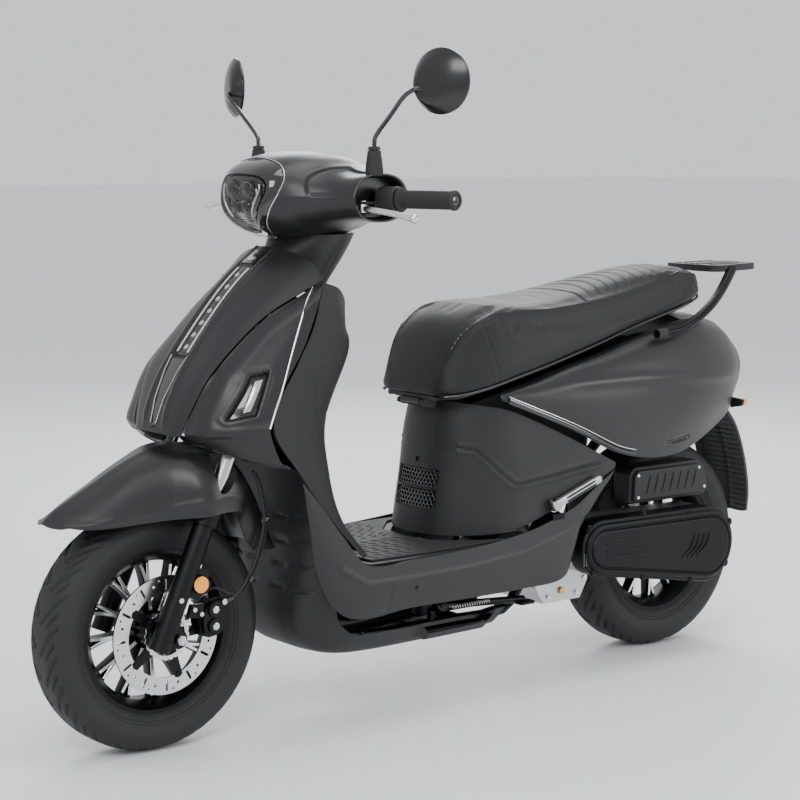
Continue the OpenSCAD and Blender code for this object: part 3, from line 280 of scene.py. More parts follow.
def make(name, parts, mat, body, nodes=(), sharp=38, bevel=0.0, level=0):
    """One named object from a list of (points, faces), riding on a CAD body."""
    verts, faces, base = [], [], 0
    for v, f in parts:
        verts.append(np.asarray(v, float))
        faces += [tuple(int(x) + base for x in face) for face in f]
        base += len(v)
    mesh = bpy.data.meshes.new(name)
    mesh.from_pydata(np.concatenate(verts).tolist(), [], faces)
    shape = bmesh.new()
    shape.from_mesh(mesh)
    bmesh.ops.recalc_face_normals(shape, faces=shape.faces)
    shape.to_mesh(mesh)
    shape.free()
    mesh.polygons.foreach_set("use_smooth", np.ones(len(mesh.polygons), bool))
    mesh.set_sharp_from_angle(angle=math.radians(sharp))
    obj = bpy.data.objects.new(name, mesh)
    mesh.materials.append(MATS[mat])
    bpy.context.scene.collection.objects.link(obj)
    if level:
        sub = obj.modifiers.new("smooth", "SUBSURF")
        sub.levels = sub.render_levels = level
    if bevel:
        round_edges(obj, bevel)
    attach(obj, body)
    if nodes:
        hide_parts(*nodes)
    return obj


def round_edges(obj, width, angle=35):
    """A small rounded edge on every sharp corner."""
    m = obj.modifiers.new("edges", "BEVEL")
    m.width = width
    m.segments = 2
    m.limit_method = "ANGLE"
    m.angle_limit = math.radians(angle)
    m.harden_normals = True


def away(p, line, axes=(0, 2)):
    """Distance from points to a polyline, both seen along the axis left out."""
    q = p[..., list(axes)]
    pts = np.array(line, float) / 1000
    best = np.full(q.shape[:-1], 9.0)
    for a, b in zip(pts[:-1], pts[1:]):
        t = np.clip(((q - a) @ (b - a)) / ((b - a) @ (b - a)), 0, 1)
        best = np.minimum(best, np.linalg.norm(q - a - t[..., None] * (b - a), axis=-1))
    return best


def inside(p, outline, edge, axes=(0, 2)):
    """One inside a closed outline and zero outside, soft over the width edge."""
    q = p[..., list(axes)]
    pts = np.array(outline, float) / 1000
    odd = np.zeros(q.shape[:-1], bool)
    for a, b in zip(pts, np.roll(pts, -1, 0)):
        if a[1] == b[1]:
            continue
        cross = (q[..., 1] > min(a[1], b[1])) & (q[..., 1] <= max(a[1], b[1]))
        odd ^= cross & (q[..., 0] < a[0] + (q[..., 1] - a[1]) * (b[0] - a[0]) / (b[1] - a[1]))
    d = away(p, list(outline) + [outline[0]], axes) * np.where(odd, 1, -1)
    return smooth(d, -edge / 2, edge / 2)


def smooth(x, low, high):
    """Zero below low and one above high, by t squared times (3 - 2t) between."""
    t = np.clip((x - low) / (high - low), 0, 1)
    return t * t * (3 - 2 * t)


class Surface:
    """A grid that lines and outlines can be laid on, seen along one axis."""

    def __init__(self, g):
        from mathutils.bvhtree import BVHTree
        m, n = g.shape[:2]
        self.tree = BVHTree.FromPolygons(g.reshape(-1, 3).tolist(), grid_faces(m, n).tolist())

    def lay(self, points, axis=1, side=-1, lift=0.0):
        """Points (two numbers each, mm) dropped on the surface along an axis from that side."""
        out = []
        for a, b in np.asarray(points, float) / 1000:
            p = Vector((a, b, 0)) if axis == 2 else Vector((a, 0, b)) if axis == 1 else Vector((0, a, b))
            p[axis] = side * 3.0
            d = Vector((0, 0, 0))
            d[axis] = -side
            hit, normal, _, _ = self.tree.ray_cast(p, d)
            if hit is None:
                hit, normal, _, _ = self.tree.find_nearest(Vector(out[-1]) if out else p)
            if normal.dot(d) > 0:
                normal = -normal
            out.append(np.array(hit + normal * lift))
        return np.array(out)


def patch(surface, corners, nu, nv, t, lift, axis=1, side=-1, bow=0.0):
    """A plate over a four-cornered region of a surface."""
    a, b, c, d = np.array(corners, float)
    u = np.linspace(0, 1, nu + 1)[:, None, None]
    w = np.linspace(0, 1, nv + 1)[None, :, None]
    flat = (a * (1 - u) + d * u) * (1 - w) + (b * (1 - u) + c * u) * w
    g = surface.lay(flat.reshape(-1, 2), axis, side, lift).reshape(nu + 1, nv + 1, 3)
    if bow:
        k = np.sin(math.pi * u[..., 0]) * np.sin(math.pi * w[..., 0])
        n = normals(g)
        out = np.zeros(3)
        out[axis] = side
        g = g + n * np.sign((n @ out).mean()) * (k * bow)[..., None]
    n = normals(g)
    out = np.zeros(3)
    out[axis] = side
    return shell(g, t, flip=bool((n @ out).mean() < 0))


def disc_part(at, normal, r, h, n=24, dome=0.0):
    """A round plug standing on a point: flat, or domed by that height."""
    z = np.array(normal, float) / np.linalg.norm(normal)
    x = np.cross(z, [0.3, 0.1, 1.0])
    x /= np.linalg.norm(x)
    y = np.cross(z, x)
    q = np.linspace(0, 2 * math.pi, n, endpoint=False)
    ring = x * np.cos(q)[:, None] + y * np.sin(q)[:, None]
    levels = [(r, -0.001), (r, h * 0.8), (r * 0.93, h)]
    if dome:
        levels += [(r * k, h + dome * (1 - k * k)) for k in (0.75, 0.5, 0.25)]
    rings = [np.asarray(at) + ring * a + z * b for a, b in levels]
    return tube(rings[::-1])


# Every finish under its own name, so that later pieces can use it too.
MATS = {}
MATS["body_paint"] = paint()
MATS["gloss_black"] = Material("gloss_black", (0.008, 0.008, 0.009), 0.07, coat_weight=0.6,
                               coat_roughness=0.03).data
MATS["bright_steel"] = metal("bright_steel", (0.62, 0.62, 0.63), 0.22, 400.0, 0.00005)
MATS["clear_lens"] = clear("clear_lens", (0.03, 0.03, 0.032), 0.03)
MATS["lamp_white"] = Material("lamp_white", (0.86, 0.88, 0.90), 0.16, 0.5).data
APRON_ROWS = [
    [[-420, 0, 942], [-416, 30, 940], [-408, 75, 932], [-398, 125, 915], [-400, 160, 884]],
    [[-490, 0, 890], [-487, 28, 888], [-474, 70, 881], [-456, 110, 872], [-438, 140, 860]],
    [[-554, 0, 824], [-552, 28, 823], [-544, 68, 820], [-532, 98, 816], [-516, 120, 812]],
    [[-630, 0, 727], [-629, 28, 727], [-625, 66, 727], [-620, 92, 727], [-610, 110, 727]],
    [[-667, 0, 658], [-666, 28, 658], [-663, 58, 658], [-658, 80, 658], [-650, 95, 658]],
    [[-683, 0, 603], [-682, 28, 603], [-680, 52, 602], [-676, 68, 601], [-670, 80, 601]]]
TAIL = [[-27, 740], [27, 740], [9, 612], [-9, 612]]
STRIP = [[-26, 742], [26, 742], [26, 912], [-26, 912]]


def apron_relief(g):
    """Height over the apron: the strip's bed and tail are sunk, and two bell-shaped ridges run beside
    them."""
    bed = inside(g, STRIP, 0.003, (1, 2))
    tail = inside(g, TAIL, 0.003, (1, 2))
    ridge = 0.0035 * np.exp(-((abs(g[..., 1]) - 0.034) / 0.007) ** 2) * smooth(g[..., 2], 0.60, 0.64)
    edge = -0.002 * (1 - smooth(away(g, [[80, 601], [110, 727], [120, 812], [140, 860]], (1, 2)), 0, 0.006))
    return -0.0055 * bed - 0.0035 * tail + ridge * (1 - bed) + edge


g = net(APRON_ROWS, 150, 140, whole=True)
make("front_apron_panel", [shell(g, 0.0025, apron_relief, flip=True)], "body_paint", "body", ["front_apron"],
     bevel=0.0008)
apron = Surface(net(APRON_ROWS, 120, 120, whole=True))
bed = patch(apron, [[-24, 746], [24, 746], [24, 908], [-24, 908]], 60, 14, 0.001, -0.0045, 0, -1)
tail = patch(apron, [[-7, 616], [7, 616], [24, 738], [-24, 738]], 40, 10, 0.001, -0.0018, 0, -1)
make("strip_bed", [bed, tail], "gloss_black", "body")
cover = patch(apron, [[-25, 744], [25, 744], [25, 910], [-25, 910]], 60, 14, 0.0016, 0.0004, 0, -1,
              bow=0.0015)
make("strip_cover", [cover], "clear_lens", "body", ["front_lamps"])
guides = []
for y in (-17.5, 17.5):
    guides.append(sweep(apron.lay([(y, z) for z in np.linspace(750, 903, 30)], 0, -1, -0.0015),
                        oval(0.0026, 0.0016, 10), (1, 0, 0)))
for k in range(7):
    z = 760 + 22 * k
    guides.append(disc_part(apron.lay([(0, z)], 0, -1, -0.0038)[0], (-0.7, 0, 0.7), 0.0055, 0.0015, 20,
                            0.001))
make("strip_light_guides", guides, "lamp_white", "body")
edges = []
for s in (-1, 1):
    edges.append(sweep(apron.lay([(s * 26.5, 742), (s * 22, 715), (s * 15, 665), (s * 9, 620)], 0, -1,
                                 0.0006),
                       oval(0.0012, 0.0012, 8), (1, 0, 0)))
make("tail_edges", edges, "bright_steel", "body")
place = apron.lay([(0, 921)], 0, -1, 0.0005)[0]
make("apron_emblem", [disc_part(place, (-0.6, 0, 0.8), 0.011, 0.002, 32, 0.002)], "bright_steel", "body")
make("emblem_field", [patch(apron, [[-27, 911], [27, 911], [24, 934], [-24, 934]], 8, 12, 0.001, 0.0006, 0,
                            -1)],
     "gloss_black", "body")

# ---------------------------------------------------------------- leg shields
# One painted wing each side of the apron, with a rounded crest beside the seam, a recess that
# holds the front signal lamp, and a crease above its lower edge.


def mirrored(part):
    """The same part on the other side of the centre plane."""
    v, f = part
    return np.asarray(v) * [1, -1, 1], [tuple(x)[::-1] for x in f]


def along(points, n):
    """n points along a smooth curve through hand-set points (mm)."""
    return spline(np.array(points, float), np.linspace(0, 1, n))


MATS["satin_silver"] = metal("satin_silver", (0.72, 0.72, 0.74), 0.26, 600.0, 0.00003)
WING_ROWS = [
    [[-402, 162, 882], [-403, 165, 881], [-405, 168, 880], [-407, 170, 879]],
    [[-440, 143, 857], [-440, 158, 850], [-434, 170, 845], [-424, 178, 840]],
    [[-518, 123, 808], [-508, 150, 795], [-490, 172, 780], [-462, 186, 765]],
    [[-612, 113, 722], [-598, 146, 712], [-565, 180, 700], [-520, 200, 692]],
    [[-652, 98, 654], [-640, 136, 646], [-605, 178, 640], [-550, 208, 636]],
    [[-668, 88, 606], [-655, 130, 606], [-620, 176, 608], [-558, 212, 612]],
    [[-654, 86, 592], [-636, 128, 580], [-590, 166, 564], [-526, 198, 552]],
    [[-648, 86, 586], [-622, 128, 570], [-566, 166, 548], [-500, 194, 534]]]
SIGNAL = [[-571, 716], [-541, 721], [-577, 645], [-623, 637]]


def wing_relief(g):
    """Height over a shield: a sunk lamp recess with a raised lip, and a bell-shaped crest along the seam."""
    recess = inside(g, SIGNAL, 0.004)
    seam = [[-402, 882], [-440, 857], [-518, 808], [-612, 722], [-652, 652], [-672, 596]]
    d = away(g, seam)
    crest = 0.003 * np.exp(-((d - 0.016) / 0.009) ** 2) - 0.0015 * (1 - smooth(d, 0.0, 0.005))
    lip = 0.002 * np.exp(-((away(g, SIGNAL + [SIGNAL[0]]) - 0.006) / 0.005) ** 2) * (1 - recess)
    low = -0.004 * (1 - smooth(g[..., 2], 0.598, 0.612))
    return -0.010 * recess + crest + lip + low


g = net(WING_ROWS, 150, 84)
wing = shell(g, 0.0025, wing_relief, flip=True)
make("leg_shield_panels", [wing, mirrored(wing)], "body_paint", "body", ["leg_shields"], bevel=0.0008)
wings = Surface(net(WING_ROWS, 120, 60, side=-1))
bed = patch(wings, [[-568, 712], [-546, 716], [-580, 648], [-618, 641]], 20, 10, 0.001, -0.0085)
lens = patch(wings, [[-569, 715], [-544, 719], [-579, 647], [-605, 642]], 24, 12, 0.0016, -0.003, bow=0.002)
bulb = patch(wings, [[-566, 708], [-552, 711], [-584, 654], [-597, 651]], 20, 8, 0.001, -0.0065, bow=0.001)
make("signal_beds", [bed, mirrored(bed)], "gloss_black", "body")
make("signal_lenses", [lens, mirrored(lens)], "clear_lens", "body")
make("signal_reflectors", [bulb, mirrored(bulb)], "lamp_white", "body")
path = [[-412, 878], [-445, 838], [-486, 758], [-519, 696], [-545, 648]]
trim = sweep(wings.lay(along(path, 60), lift=0.0005), oval(0.0012, 0.0028, 10))
make("shield_edge_trims", [trim, mirrored(trim)], "satin_silver", "body")

# ---------------------------------------------------------------- inner leg shield
# The black moulding behind the front wheel that faces the rider's knees.


def grained(name, color, roughness, scale, depth):
    """Moulded surface with a fine pebble grain."""
    m = Material(name, color, roughness)
    cells = m.node("ShaderNodeTexVoronoi", "Distance", in_Vector=m.where(), in_Scale=scale)
    m.bump(cells, depth, 0.6)
    m.set("Roughness", roughness + 0.10 * (m.noise(14.0, 3.0) - 0.5))
    m.set("Specular IOR Level", 0.3)
    return m.data


MATS["trim_black"] = grained("trim_black", (0.018, 0.018, 0.019), 0.48, 1400.0, 0.0002)
INNER_ROWS = [
    [[-274, 0, 826], [-282, 70, 828], [-332, 122, 862], [-398, 162, 880]],
    [[-276, 0, 788], [-286, 72, 788], [-330, 126, 795], [-433, 178, 798]],
    [[-285, 0, 745], [-290, 70, 742], [-315, 118, 738], [-478, 192, 735]],
    [[-345, 0, 615], [-350, 70, 613], [-372, 122, 612], [-545, 205, 625]],
    [[-345, 0, 510], [-350, 80, 508], [-372, 138, 508], [-470, 188, 520]],
    [[-328, 0, 420], [-332, 85, 420], [-350, 150, 420], [-395, 184, 425]],
    [[-285, 0, 345], [-286, 90, 345], [-292, 150, 345], [-318, 180, 345]]]


def inner_relief(g):
    """Height over the inner shield: thin bell-shaped joint lines and a shallow middle pocket."""
    a = abs(g[..., 1])
    lines = -0.0012 * np.exp(-((a - 0.150 - 0.02 * np.sin(g[..., 2] * 9)) / 0.0016) ** 2)
    lines = lines - 0.0012 * np.exp(-((g[..., 2] - 0.62 - 0.3 * (a - 0.1)) / 0.0016) ** 2)
    pocket = -0.006 * smooth(0.075 - a, 0, 0.01) * smooth(g[..., 2], 0.52,
                                                          0.53) * (1 - smooth(g[..., 2], 0.66, 0.67))
    return lines + pocket


g = net(INNER_ROWS, 130, 100, whole=True)
make("inner_shield_panel", [shell(g, 0.0025, inner_relief)], "trim_black", "body", ["inner_shield"],
     bevel=0.0008)

# ---------------------------------------------------------------- side skirts
# The painted sills beside the floorboard, sweeping up at both ends, with a joint line in front.


def ditch(p, line, width, depth, axes=(0, 2)):
    """A rounded groove of that half width and depth along a polyline."""
    return -depth * np.exp(-(away(p, line, axes) / width) ** 2)


SKIRT_ROWS = [
    [[-470, 190, 508], [-470, 190, 503], [-468, 189, 498], [-466, 188, 494]],
    [[-425, 191, 455], [-432, 190, 415], [-436, 184, 375], [-432, 176, 340]],
    [[-375, 191, 392], [-385, 191, 345], [-390, 186, 295], [-385, 174, 252]],
    [[-313, 191, 330], [-316, 192, 298], [-318, 188, 258], [-318, 174, 222]],
    [[-200, 191, 328], [-200, 192, 298], [-200, 189, 262], [-200, 176, 228]],
    [[-50, 190, 332], [-50, 191, 300], [-50, 188, 262], [-50, 175, 226]],
    [[100, 186, 346], [100, 187, 310], [100, 183, 268], [100, 170, 224]],
    [[225, 182, 378], [228, 182, 335], [226, 178, 285], [222, 166, 232]],
    [[292, 178, 412], [282, 176, 384], [268, 172, 350], [252, 164, 305]],
    [[362, 172, 448], [350, 171, 434], [336, 169, 418], [320, 165, 400]]]


def skirt_relief(g):
    """Height over a skirt: one joint groove in front and a bell-shaped belt along its length."""
    joint = ditch(g, [[-266, 330], [-262, 225]], 0.0014, 0.0016)
    belt = 0.0022 * np.exp(-(away(g, [[-380, 330], [-318, 292], [-200, 290], [-50, 292], [100, 302],
                                      [225, 330],
                                      [300, 372], [352, 430]]) / 0.008) ** 2)
    return joint + belt


g = net(SKIRT_ROWS, 190, 50)
skirt = shell(g, 0.0025, skirt_relief)
make("side_skirt_panels", [skirt, mirrored(skirt)], "body_paint", "body", ["side_skirts"], bevel=0.0008)

# ---------------------------------------------------------------- belly pan
# Black moulding that closes the underside behind the front wheel, with rows of short air slots.
BELLY_ROWS = [
    [[-430, 0, 520], [-428, 70, 520], [-424, 115, 516], [-412, 150, 505]],
    [[-420, 0, 420], [-420, 70, 420], [-412, 118, 418], [-388, 158, 410]],
    [[-426, 0, 310], [-425, 70, 310], [-412, 116, 308], [-368, 156, 305]],
    [[-436, 0, 220], [-433, 66, 220], [-418, 110, 222], [-362, 150, 230]],
    [[-402, 0, 162], [-400, 64, 163], [-386, 106, 170], [-340, 146, 200]],
    [[-320, 0, 138], [-320, 64, 138], [-316, 108, 144], [-300, 148, 184]],
    [[-150, 0, 134], [-150, 66, 134], [-150, 110, 140], [-150, 152, 182]],
    [[70, 0, 140], [70, 66, 140], [70, 108, 146], [70, 150, 186]]]


def belly_relief(g):
    """Height over the belly pan: rows of slots, each e to the minus (a to the 4th plus b to the 4th)."""
    r = np.zeros(g.shape[:2])
    for z in (0.418, 0.372, 0.326, 0.280):
        for y in (0.045, 0.108):
            a = (abs(g[..., 1]) - y) / 0.022
            b = (g[..., 2] - z) / 0.0045
            r = r - 0.005 * np.exp(-(a**4 + b**4)) * (g[..., 0] < -0.33)
    return r


g = net(BELLY_ROWS, 130, 110, whole=True)
notch = smooth(-g[..., 1], 0.118, 0.132) * smooth(g[..., 0], -0.152,
                                                  -0.136) * (1 - smooth(g[..., 0], 0.028, 0.044))
g[..., 2] -= 0.022 * notch * smooth(g[..., 2], 0.140, 0.172)
make("belly_pan_panel", [shell(g, 0.0025, belly_relief, flip=True)], "trim_black", "body", ["belly_pan"],
     bevel=0.0008)

# ---------------------------------------------------------------- under-seat cover
# Black moulding under the seat's nose. Its front has two louvred vents with a honeycomb mesh and
# an access screw, and its sides carry a raised V that points to the foot peg.
MATS["frame_black"] = metal("frame_black", (0.018, 0.018, 0.02), 0.38, 700.0, 0.0001)
UNDERSEAT_ROWS = [
    [[-24, 0, 616], [-12, 60, 614], [30, 106, 606], [100, 136, 590], [230, 152, 532], [370, 164, 462]],
    [[-36, 0, 545], [-25, 62, 544], [16, 112, 540], [95, 143, 528], [225, 158, 480], [366, 167, 452]],
    [[-48, 0, 460], [-37, 64, 460], [10, 116, 458], [92, 150, 455], [215, 162, 438], [352, 168, 444]],
    [[-58, 0, 392], [-47, 66, 392], [2, 120, 392], [86, 154, 392], [205, 164, 412], [340, 168, 438]],
    [[-66, 0, 341], [-54, 68, 341], [-2, 124, 341], [80, 160, 348], [195, 166, 380], [330, 168, 432]]]
VEE = [[-20, 520], [17, 515], [60, 470], [95, 439], [200, 450], [325, 466]]


def underseat_relief(g):
    """Height over the under-seat cover: the V groove, two sunk vents and the joint above them."""
    a = abs(g[..., 1])
    front = g[..., 0] < 0.03
    r = ditch(g, VEE, 0.0022, 0.0022) * (a > 0.09)
    r = r + 0.0015 * np.exp(-((away(g, VEE) - 0.007) / 0.004) ** 2) * (a > 0.09)
    for low, high in ((0.436, 0.471), (0.392, 0.428)):
        box = smooth(0.062 - a, -0.002, 0.002) * smooth(g[..., 2] - low, -0.002, 0.002)
        r = r - 0.009 * box * smooth(high - g[..., 2], -0.002, 0.002) * front
    r = r - 0.0012 * np.exp(-((g[..., 2] - 0.512) / 0.0015) ** 2) * front
    return r


g = net(UNDERSEAT_ROWS, 100, 250, whole=True)
make("underseat_panel", [shell(g, 0.0025, underseat_relief, flip=True)], "trim_black", "body",
     ["underseat_cover"],
     bevel=0.0008)
under = Surface(net(UNDERSEAT_ROWS, 60, 140, whole=True))
mesh_parts = []
for low, high in ((436, 471), (392, 428)):
    for row in range(4):
        z = low + 5 + row * (high - low - 10) / 3
        for col in range(11):
            y = -55 + 11 * col + (5.5 if row % 2 else 0)
            if abs(y) > 57:
                continue
            spot = under.lay([(y, z)], 0, -1, -0.007)[0]
            q = np.linspace(0, 2 * math.pi, 7)[:6] + math.pi / 6
            ring = [spot + np.array([0, math.cos(t), math.sin(t)]) * r + np.array([dx, 0, 0])
                    for r, dx in ((0.0058, 0.001), (0.0058, -0.002), (0.0042, -0.002),
                                  (0.0042, 0.001)) for t in q]
            v = np.array(ring).reshape(4, 6, 3)
            mesh_parts.append((v.reshape(-1, 3), np.concatenate([grid_faces(4, 6, True),
                              [[18 + i, i, (i + 1) % 6, 18 + (i + 1) % 6] for i in range(6)]])))
make("vent_mesh", mesh_parts, "gloss_black", "body")
screw = disc_part(under.lay([(0, 490)], 0, -1)[0], (-1, 0, 0.1), 0.0055, 0.002, 20, 0.0012)
make("access_screw", [screw], "frame_black", "body")

# ---------------------------------------------------------------- side covers and tail
# Painted covers under the seat, each with a gloss black trim along its lower front edge and a
# slot near the shock, closed behind the seat by a small painted tail piece.
COVER_ROWS = [
    [[64, 138, 632], [62, 143, 628], [61, 145, 624], [62, 145, 620], [66, 143, 615]],
    [[150, 138, 652], [150, 154, 640], [150, 162, 622], [150, 163, 600], [150, 158, 580]],
    [[250, 138, 678], [250, 160, 660], [250, 174, 625], [250, 176, 580], [250, 168, 538]],
    [[360, 132, 700], [360, 164, 676], [360, 182, 622], [360, 184, 555], [360, 174, 486]],
    [[470, 122, 724], [470, 158, 696], [470, 182, 632], [470, 184, 550], [470, 168, 462]],
    [[580, 104, 744], [580, 142, 714], [580, 170, 640], [580, 172, 550], [580, 156, 464]],
    [[690, 80, 748], [690, 118, 722], [690, 146, 645], [690, 146, 560], [690, 132, 494]],
    [[790, 50, 730], [790, 84, 704], [790, 110, 645], [790, 108, 580], [790, 98, 530]],
    [[858, 26, 690], [864, 48, 670], [868, 62, 636], [866, 60, 595], [858, 52, 564]]]
TAIL_ROWS = [
    [[640, 0, 762], [640, 40, 759], [640, 84, 748]],
    [[740, 0, 752], [740, 34, 749], [740, 62, 740]],
    [[820, 0, 722], [820, 22, 719], [820, 36, 712]],
    [[868, 0, 684], [866, 12, 682], [862, 20, 680]]]


def cover_relief(g):
    """Height over a side cover: a sunk slot, a bell-shaped ridge along its crease, a step below and a
    lowered top edge."""
    slot = inside(g, [[520, 482], [600, 492], [604, 500], [520, 492]], 0.004)
    crease = [[64, 622], [250, 640], [430, 640], [600, 628], [760, 618], [864, 610]]
    d = away(g, crease)
    ridge = 0.0035 * np.exp(-(d / 0.012) ** 2) * smooth(g[..., 0], 0.10,
                                                        0.30) * (1 - smooth(g[..., 0], 0.72, 0.84))
    low = away(g, [[66, 615], [150, 580], [250, 538], [360, 486], [470, 462], [580, 464], [690, 494]])
    step = -0.0025 * (1 - smooth(low, 0.010, 0.014)) * (1 - smooth(g[..., 0], 0.42, 0.5))
    top = away(g, [[64, 632], [150, 652], [250, 678], [360, 700], [470, 724], [580, 744], [690, 748]])
    return -0.005 * slot + ridge + step - 0.002 * (1 - smooth(top, 0, 0.006))


g = net(COVER_ROWS, 216, 90)
cover = shell(g, 0.0025, cover_relief)
tail = shell(net(TAIL_ROWS, 80, 60, whole=True), 0.0025)
make("side_cover_panels", [cover, mirrored(cover), tail], "body_paint", "body", ["side_covers"], bevel=0.0008)
covers = Surface(net(COVER_ROWS, 160, 80, side=-1))
low = along([[80, 611], [150, 582], [250, 541], [360, 490], [420, 473]], 70)
black = sweep(covers.lay(low + [0, 4], lift=0.001), oval(0.0022, 0.0062, 12, 0.7),
              scale=np.linspace(1, 0.35, 70))
make("cover_black_trims", [black, mirrored(black)], "gloss_black", "body")
line = sweep(covers.lay(low + [0, 12], lift=0.0004), oval(0.001, 0.0011, 8))
make("cover_bright_lines", [line, mirrored(line)], "satin_silver", "body")

# ---------------------------------------------------------------- front fender
# Painted shell over the front tyre, fixed to the fork bridge and reaching down behind the wheel.
FENDER_ROWS = [
    [[-916, 0, 453], [-914, 20, 452], [-908, 34, 451], [-901, 43, 450], [-893, 49, 449]],
    [[-890, 0, 474], [-886, 26, 469], [-877, 44, 461], [-867, 56, 453], [-862, 59, 446]],
    [[-851, 0, 495], [-848, 32, 489], [-842, 56, 476], [-836, 70, 459], [-834, 73, 446]],
    [[-804, 0, 519], [-802, 34, 513], [-798, 60, 499], [-794, 76, 475], [-792, 80, 447]],
    [[-755, 0, 544], [-754, 36, 539], [-750, 64, 523], [-746, 82, 491], [-744, 86, 449]],
    [[-705, 0, 564], [-704, 38, 560], [-700, 74, 546], [-696, 96, 506], [-694, 101, 452]],
    [[-655, 0, 574], [-654, 46, 571], [-652, 92, 560], [-650, 128, 515], [-650, 135, 456]],
    [[-605, 0, 574], [-605, 48, 572], [-604, 96, 562], [-604, 129, 520], [-606, 136, 460]],
    [[-560, 0, 556], [-558, 46, 553], [-556, 90, 540], [-557, 120, 505], [-562, 124, 455]],
    [[-512, 0, 505], [-511, 40, 502], [-512, 76, 490], [-526, 92, 468], [-550, 94, 438]],
    [[-475, 0, 430], [-475, 40, 428], [-478, 72, 422], [-498, 88, 410], [-534, 90, 396]],
    [[-450, 0, 366], [-450, 40, 366], [-454, 72, 366], [-474, 86, 367], [-514, 88, 370]]]


def fender_relief(g):
    """Height over the fender: a bell-shaped fold along each side and a bell-shaped spine down its middle."""
    line = [[-893, 452], [-862, 452], [-834, 455], [-792, 460], [-744, 466], [-694, 474], [-650, 484],
            [-606, 490],
            [-562, 486]]
    fold = 0.003 * np.exp(-(away(g, line) / 0.007) ** 2) * (abs(g[..., 1]) > 0.03)
    spine = 0.003 * np.exp(-(g[..., 1] / 0.012) ** 2) * (1 - smooth(g[..., 0], -0.60, -0.5))
    return fold + spine


g = net(FENDER_ROWS, 170, 110, whole=True)
make("front_fender_shell", [shell(g, 0.0025, fender_relief)], "body_paint", "steering", ["front_fender"],
     bevel=0.0008)

# ---------------------------------------------------------------- rear mudguard
# Black flap behind the rear wheel with moulded cross ribs.
MUDGUARD_ROWS = [
    [[800, 0, 565], [800, 40, 563], [798, 66, 556], [790, 74, 545]],
    [[858, 0, 500], [857, 40, 499], [853, 66, 494], [842, 75, 486]],
    [[892, 0, 420], [891, 40, 419], [886, 66, 416], [872, 75, 410]],
    [[908, 0, 340], [907, 40, 340], [902, 66, 338], [886, 75, 336]],
    [[914, 0, 276], [913, 36, 276], [908, 58, 280], [894, 66, 286]]]


def mudguard_relief(g):
    """Height over the mudguard: ribs as a sine to the 8th power that fade at its sides, and a bell-shaped
    spine."""
    ribs = 0.0022 * np.sin(g[..., 2] * 2 * math.pi / 0.024) ** 8
    side = 1 - smooth(abs(g[..., 1]), 0.050, 0.058)
    spine = 0.003 * np.exp(-(g[..., 1] / 0.006) ** 2)
    return ribs * side + spine


g = net(MUDGUARD_ROWS, 140, 60, whole=True)
make("mudguard_flap", [shell(g, 0.003, mudguard_relief)], "trim_black", "body", ["rear_mudguard"],
     bevel=0.0008)

# ---------------------------------------------------------------- tyres
# Scooter tyres with a rounded crown, curved rain grooves that meet in a chevron, and raised
# rings on the side wall.


def turned(profile, n=96, axis=1, centre=(0, 0, 0), wobble=None):
    """Surface turned about an axis from closed (radius, along) points."""
    p = np.asarray(profile, float)
    q = np.linspace(0, 2 * math.pi, n, endpoint=False)
    r = np.repeat(p[None, :, 0], n, 0)
    y = np.repeat(p[None, :, 1], n, 0)
    if wobble is not None:
        r = r + wobble(q[:, None], y, r)
    c, s = np.cos(q)[:, None], np.sin(q)[:, None]
    v = [r * c, y, r * s] if axis == 1 else [y, r * s, r * c] if axis == 0 else [r * s, r * c, y]
    v = np.stack(v, -1) + np.asarray(centre)
    m, k = v.shape[:2]
    i, j = np.meshgrid(np.arange(m), np.arange(k), indexing="ij")
    a, b = (i + 1) % m, (j + 1) % k
    return v.reshape(-1, 3), np.stack([i * k + j, i * k + b, a * k + b, a * k + j], -1).reshape(-1, 4)


MATS["tyre_rubber"] = grained("tyre_rubber", (0.020, 0.020, 0.021), 0.62, 700.0, 0.0003)


def plate(loops, low, high, axis=1):
    """A flat plate between two heights from an outline and holes, given as closed (a, b) loops."""
    from mathutils.geometry import tessellate_polygon
    flat = [np.asarray(l, float) for l in loops]
    tris = tessellate_polygon([[Vector((a, b, 0)) for a, b in l] for l in flat])
    pts = np.concatenate(flat)
    n = len(pts)
    cols = [pts[:, 0], pts[:, 1]]
    cols.insert(axis, np.full(n, low))
    base = np.stack(cols, -1)
    cols[axis] = np.full(n, high)
    faces = [tuple(t) for t in tris] + [tuple(i + n for i in t[::-1]) for t in tris]
    start = 0
    for l in flat:
        k = len(l)
        faces += [(start + i, start + (i + 1) % k, start + (i + 1) % k + n, start + i + n) for i in range(k)]
        start += k
    return np.concatenate([base, np.stack(cols, -1)]), faces


def ring_points(r, n=96, at=(0, 0), phase=0.0):
    """A ring about a place: r times the cosine and sine of even angles."""
    q = np.linspace(0, 2 * math.pi, n, endpoint=False) + phase
    return np.stack([at[0] + r * np.cos(q), at[1] + r * np.sin(q)], -1)


def slot_points(r0, r1, q, half):
    """A rounded slot along a radius, from r0 to r1, at angle q."""
    d = np.array([math.cos(q), math.sin(q)])
    s = np.array([-d[1], d[0]])
    a = [d * r1 + (d * math.sin(t) + s * math.cos(t)) * half for t in np.linspace(0, math.pi, 7)]
    b = [d * r0 - (d * math.sin(t) + s * math.cos(t)) * half for t in np.linspace(0, math.pi, 7)]
    return np.array(a + b)


BEAD = 0.1524


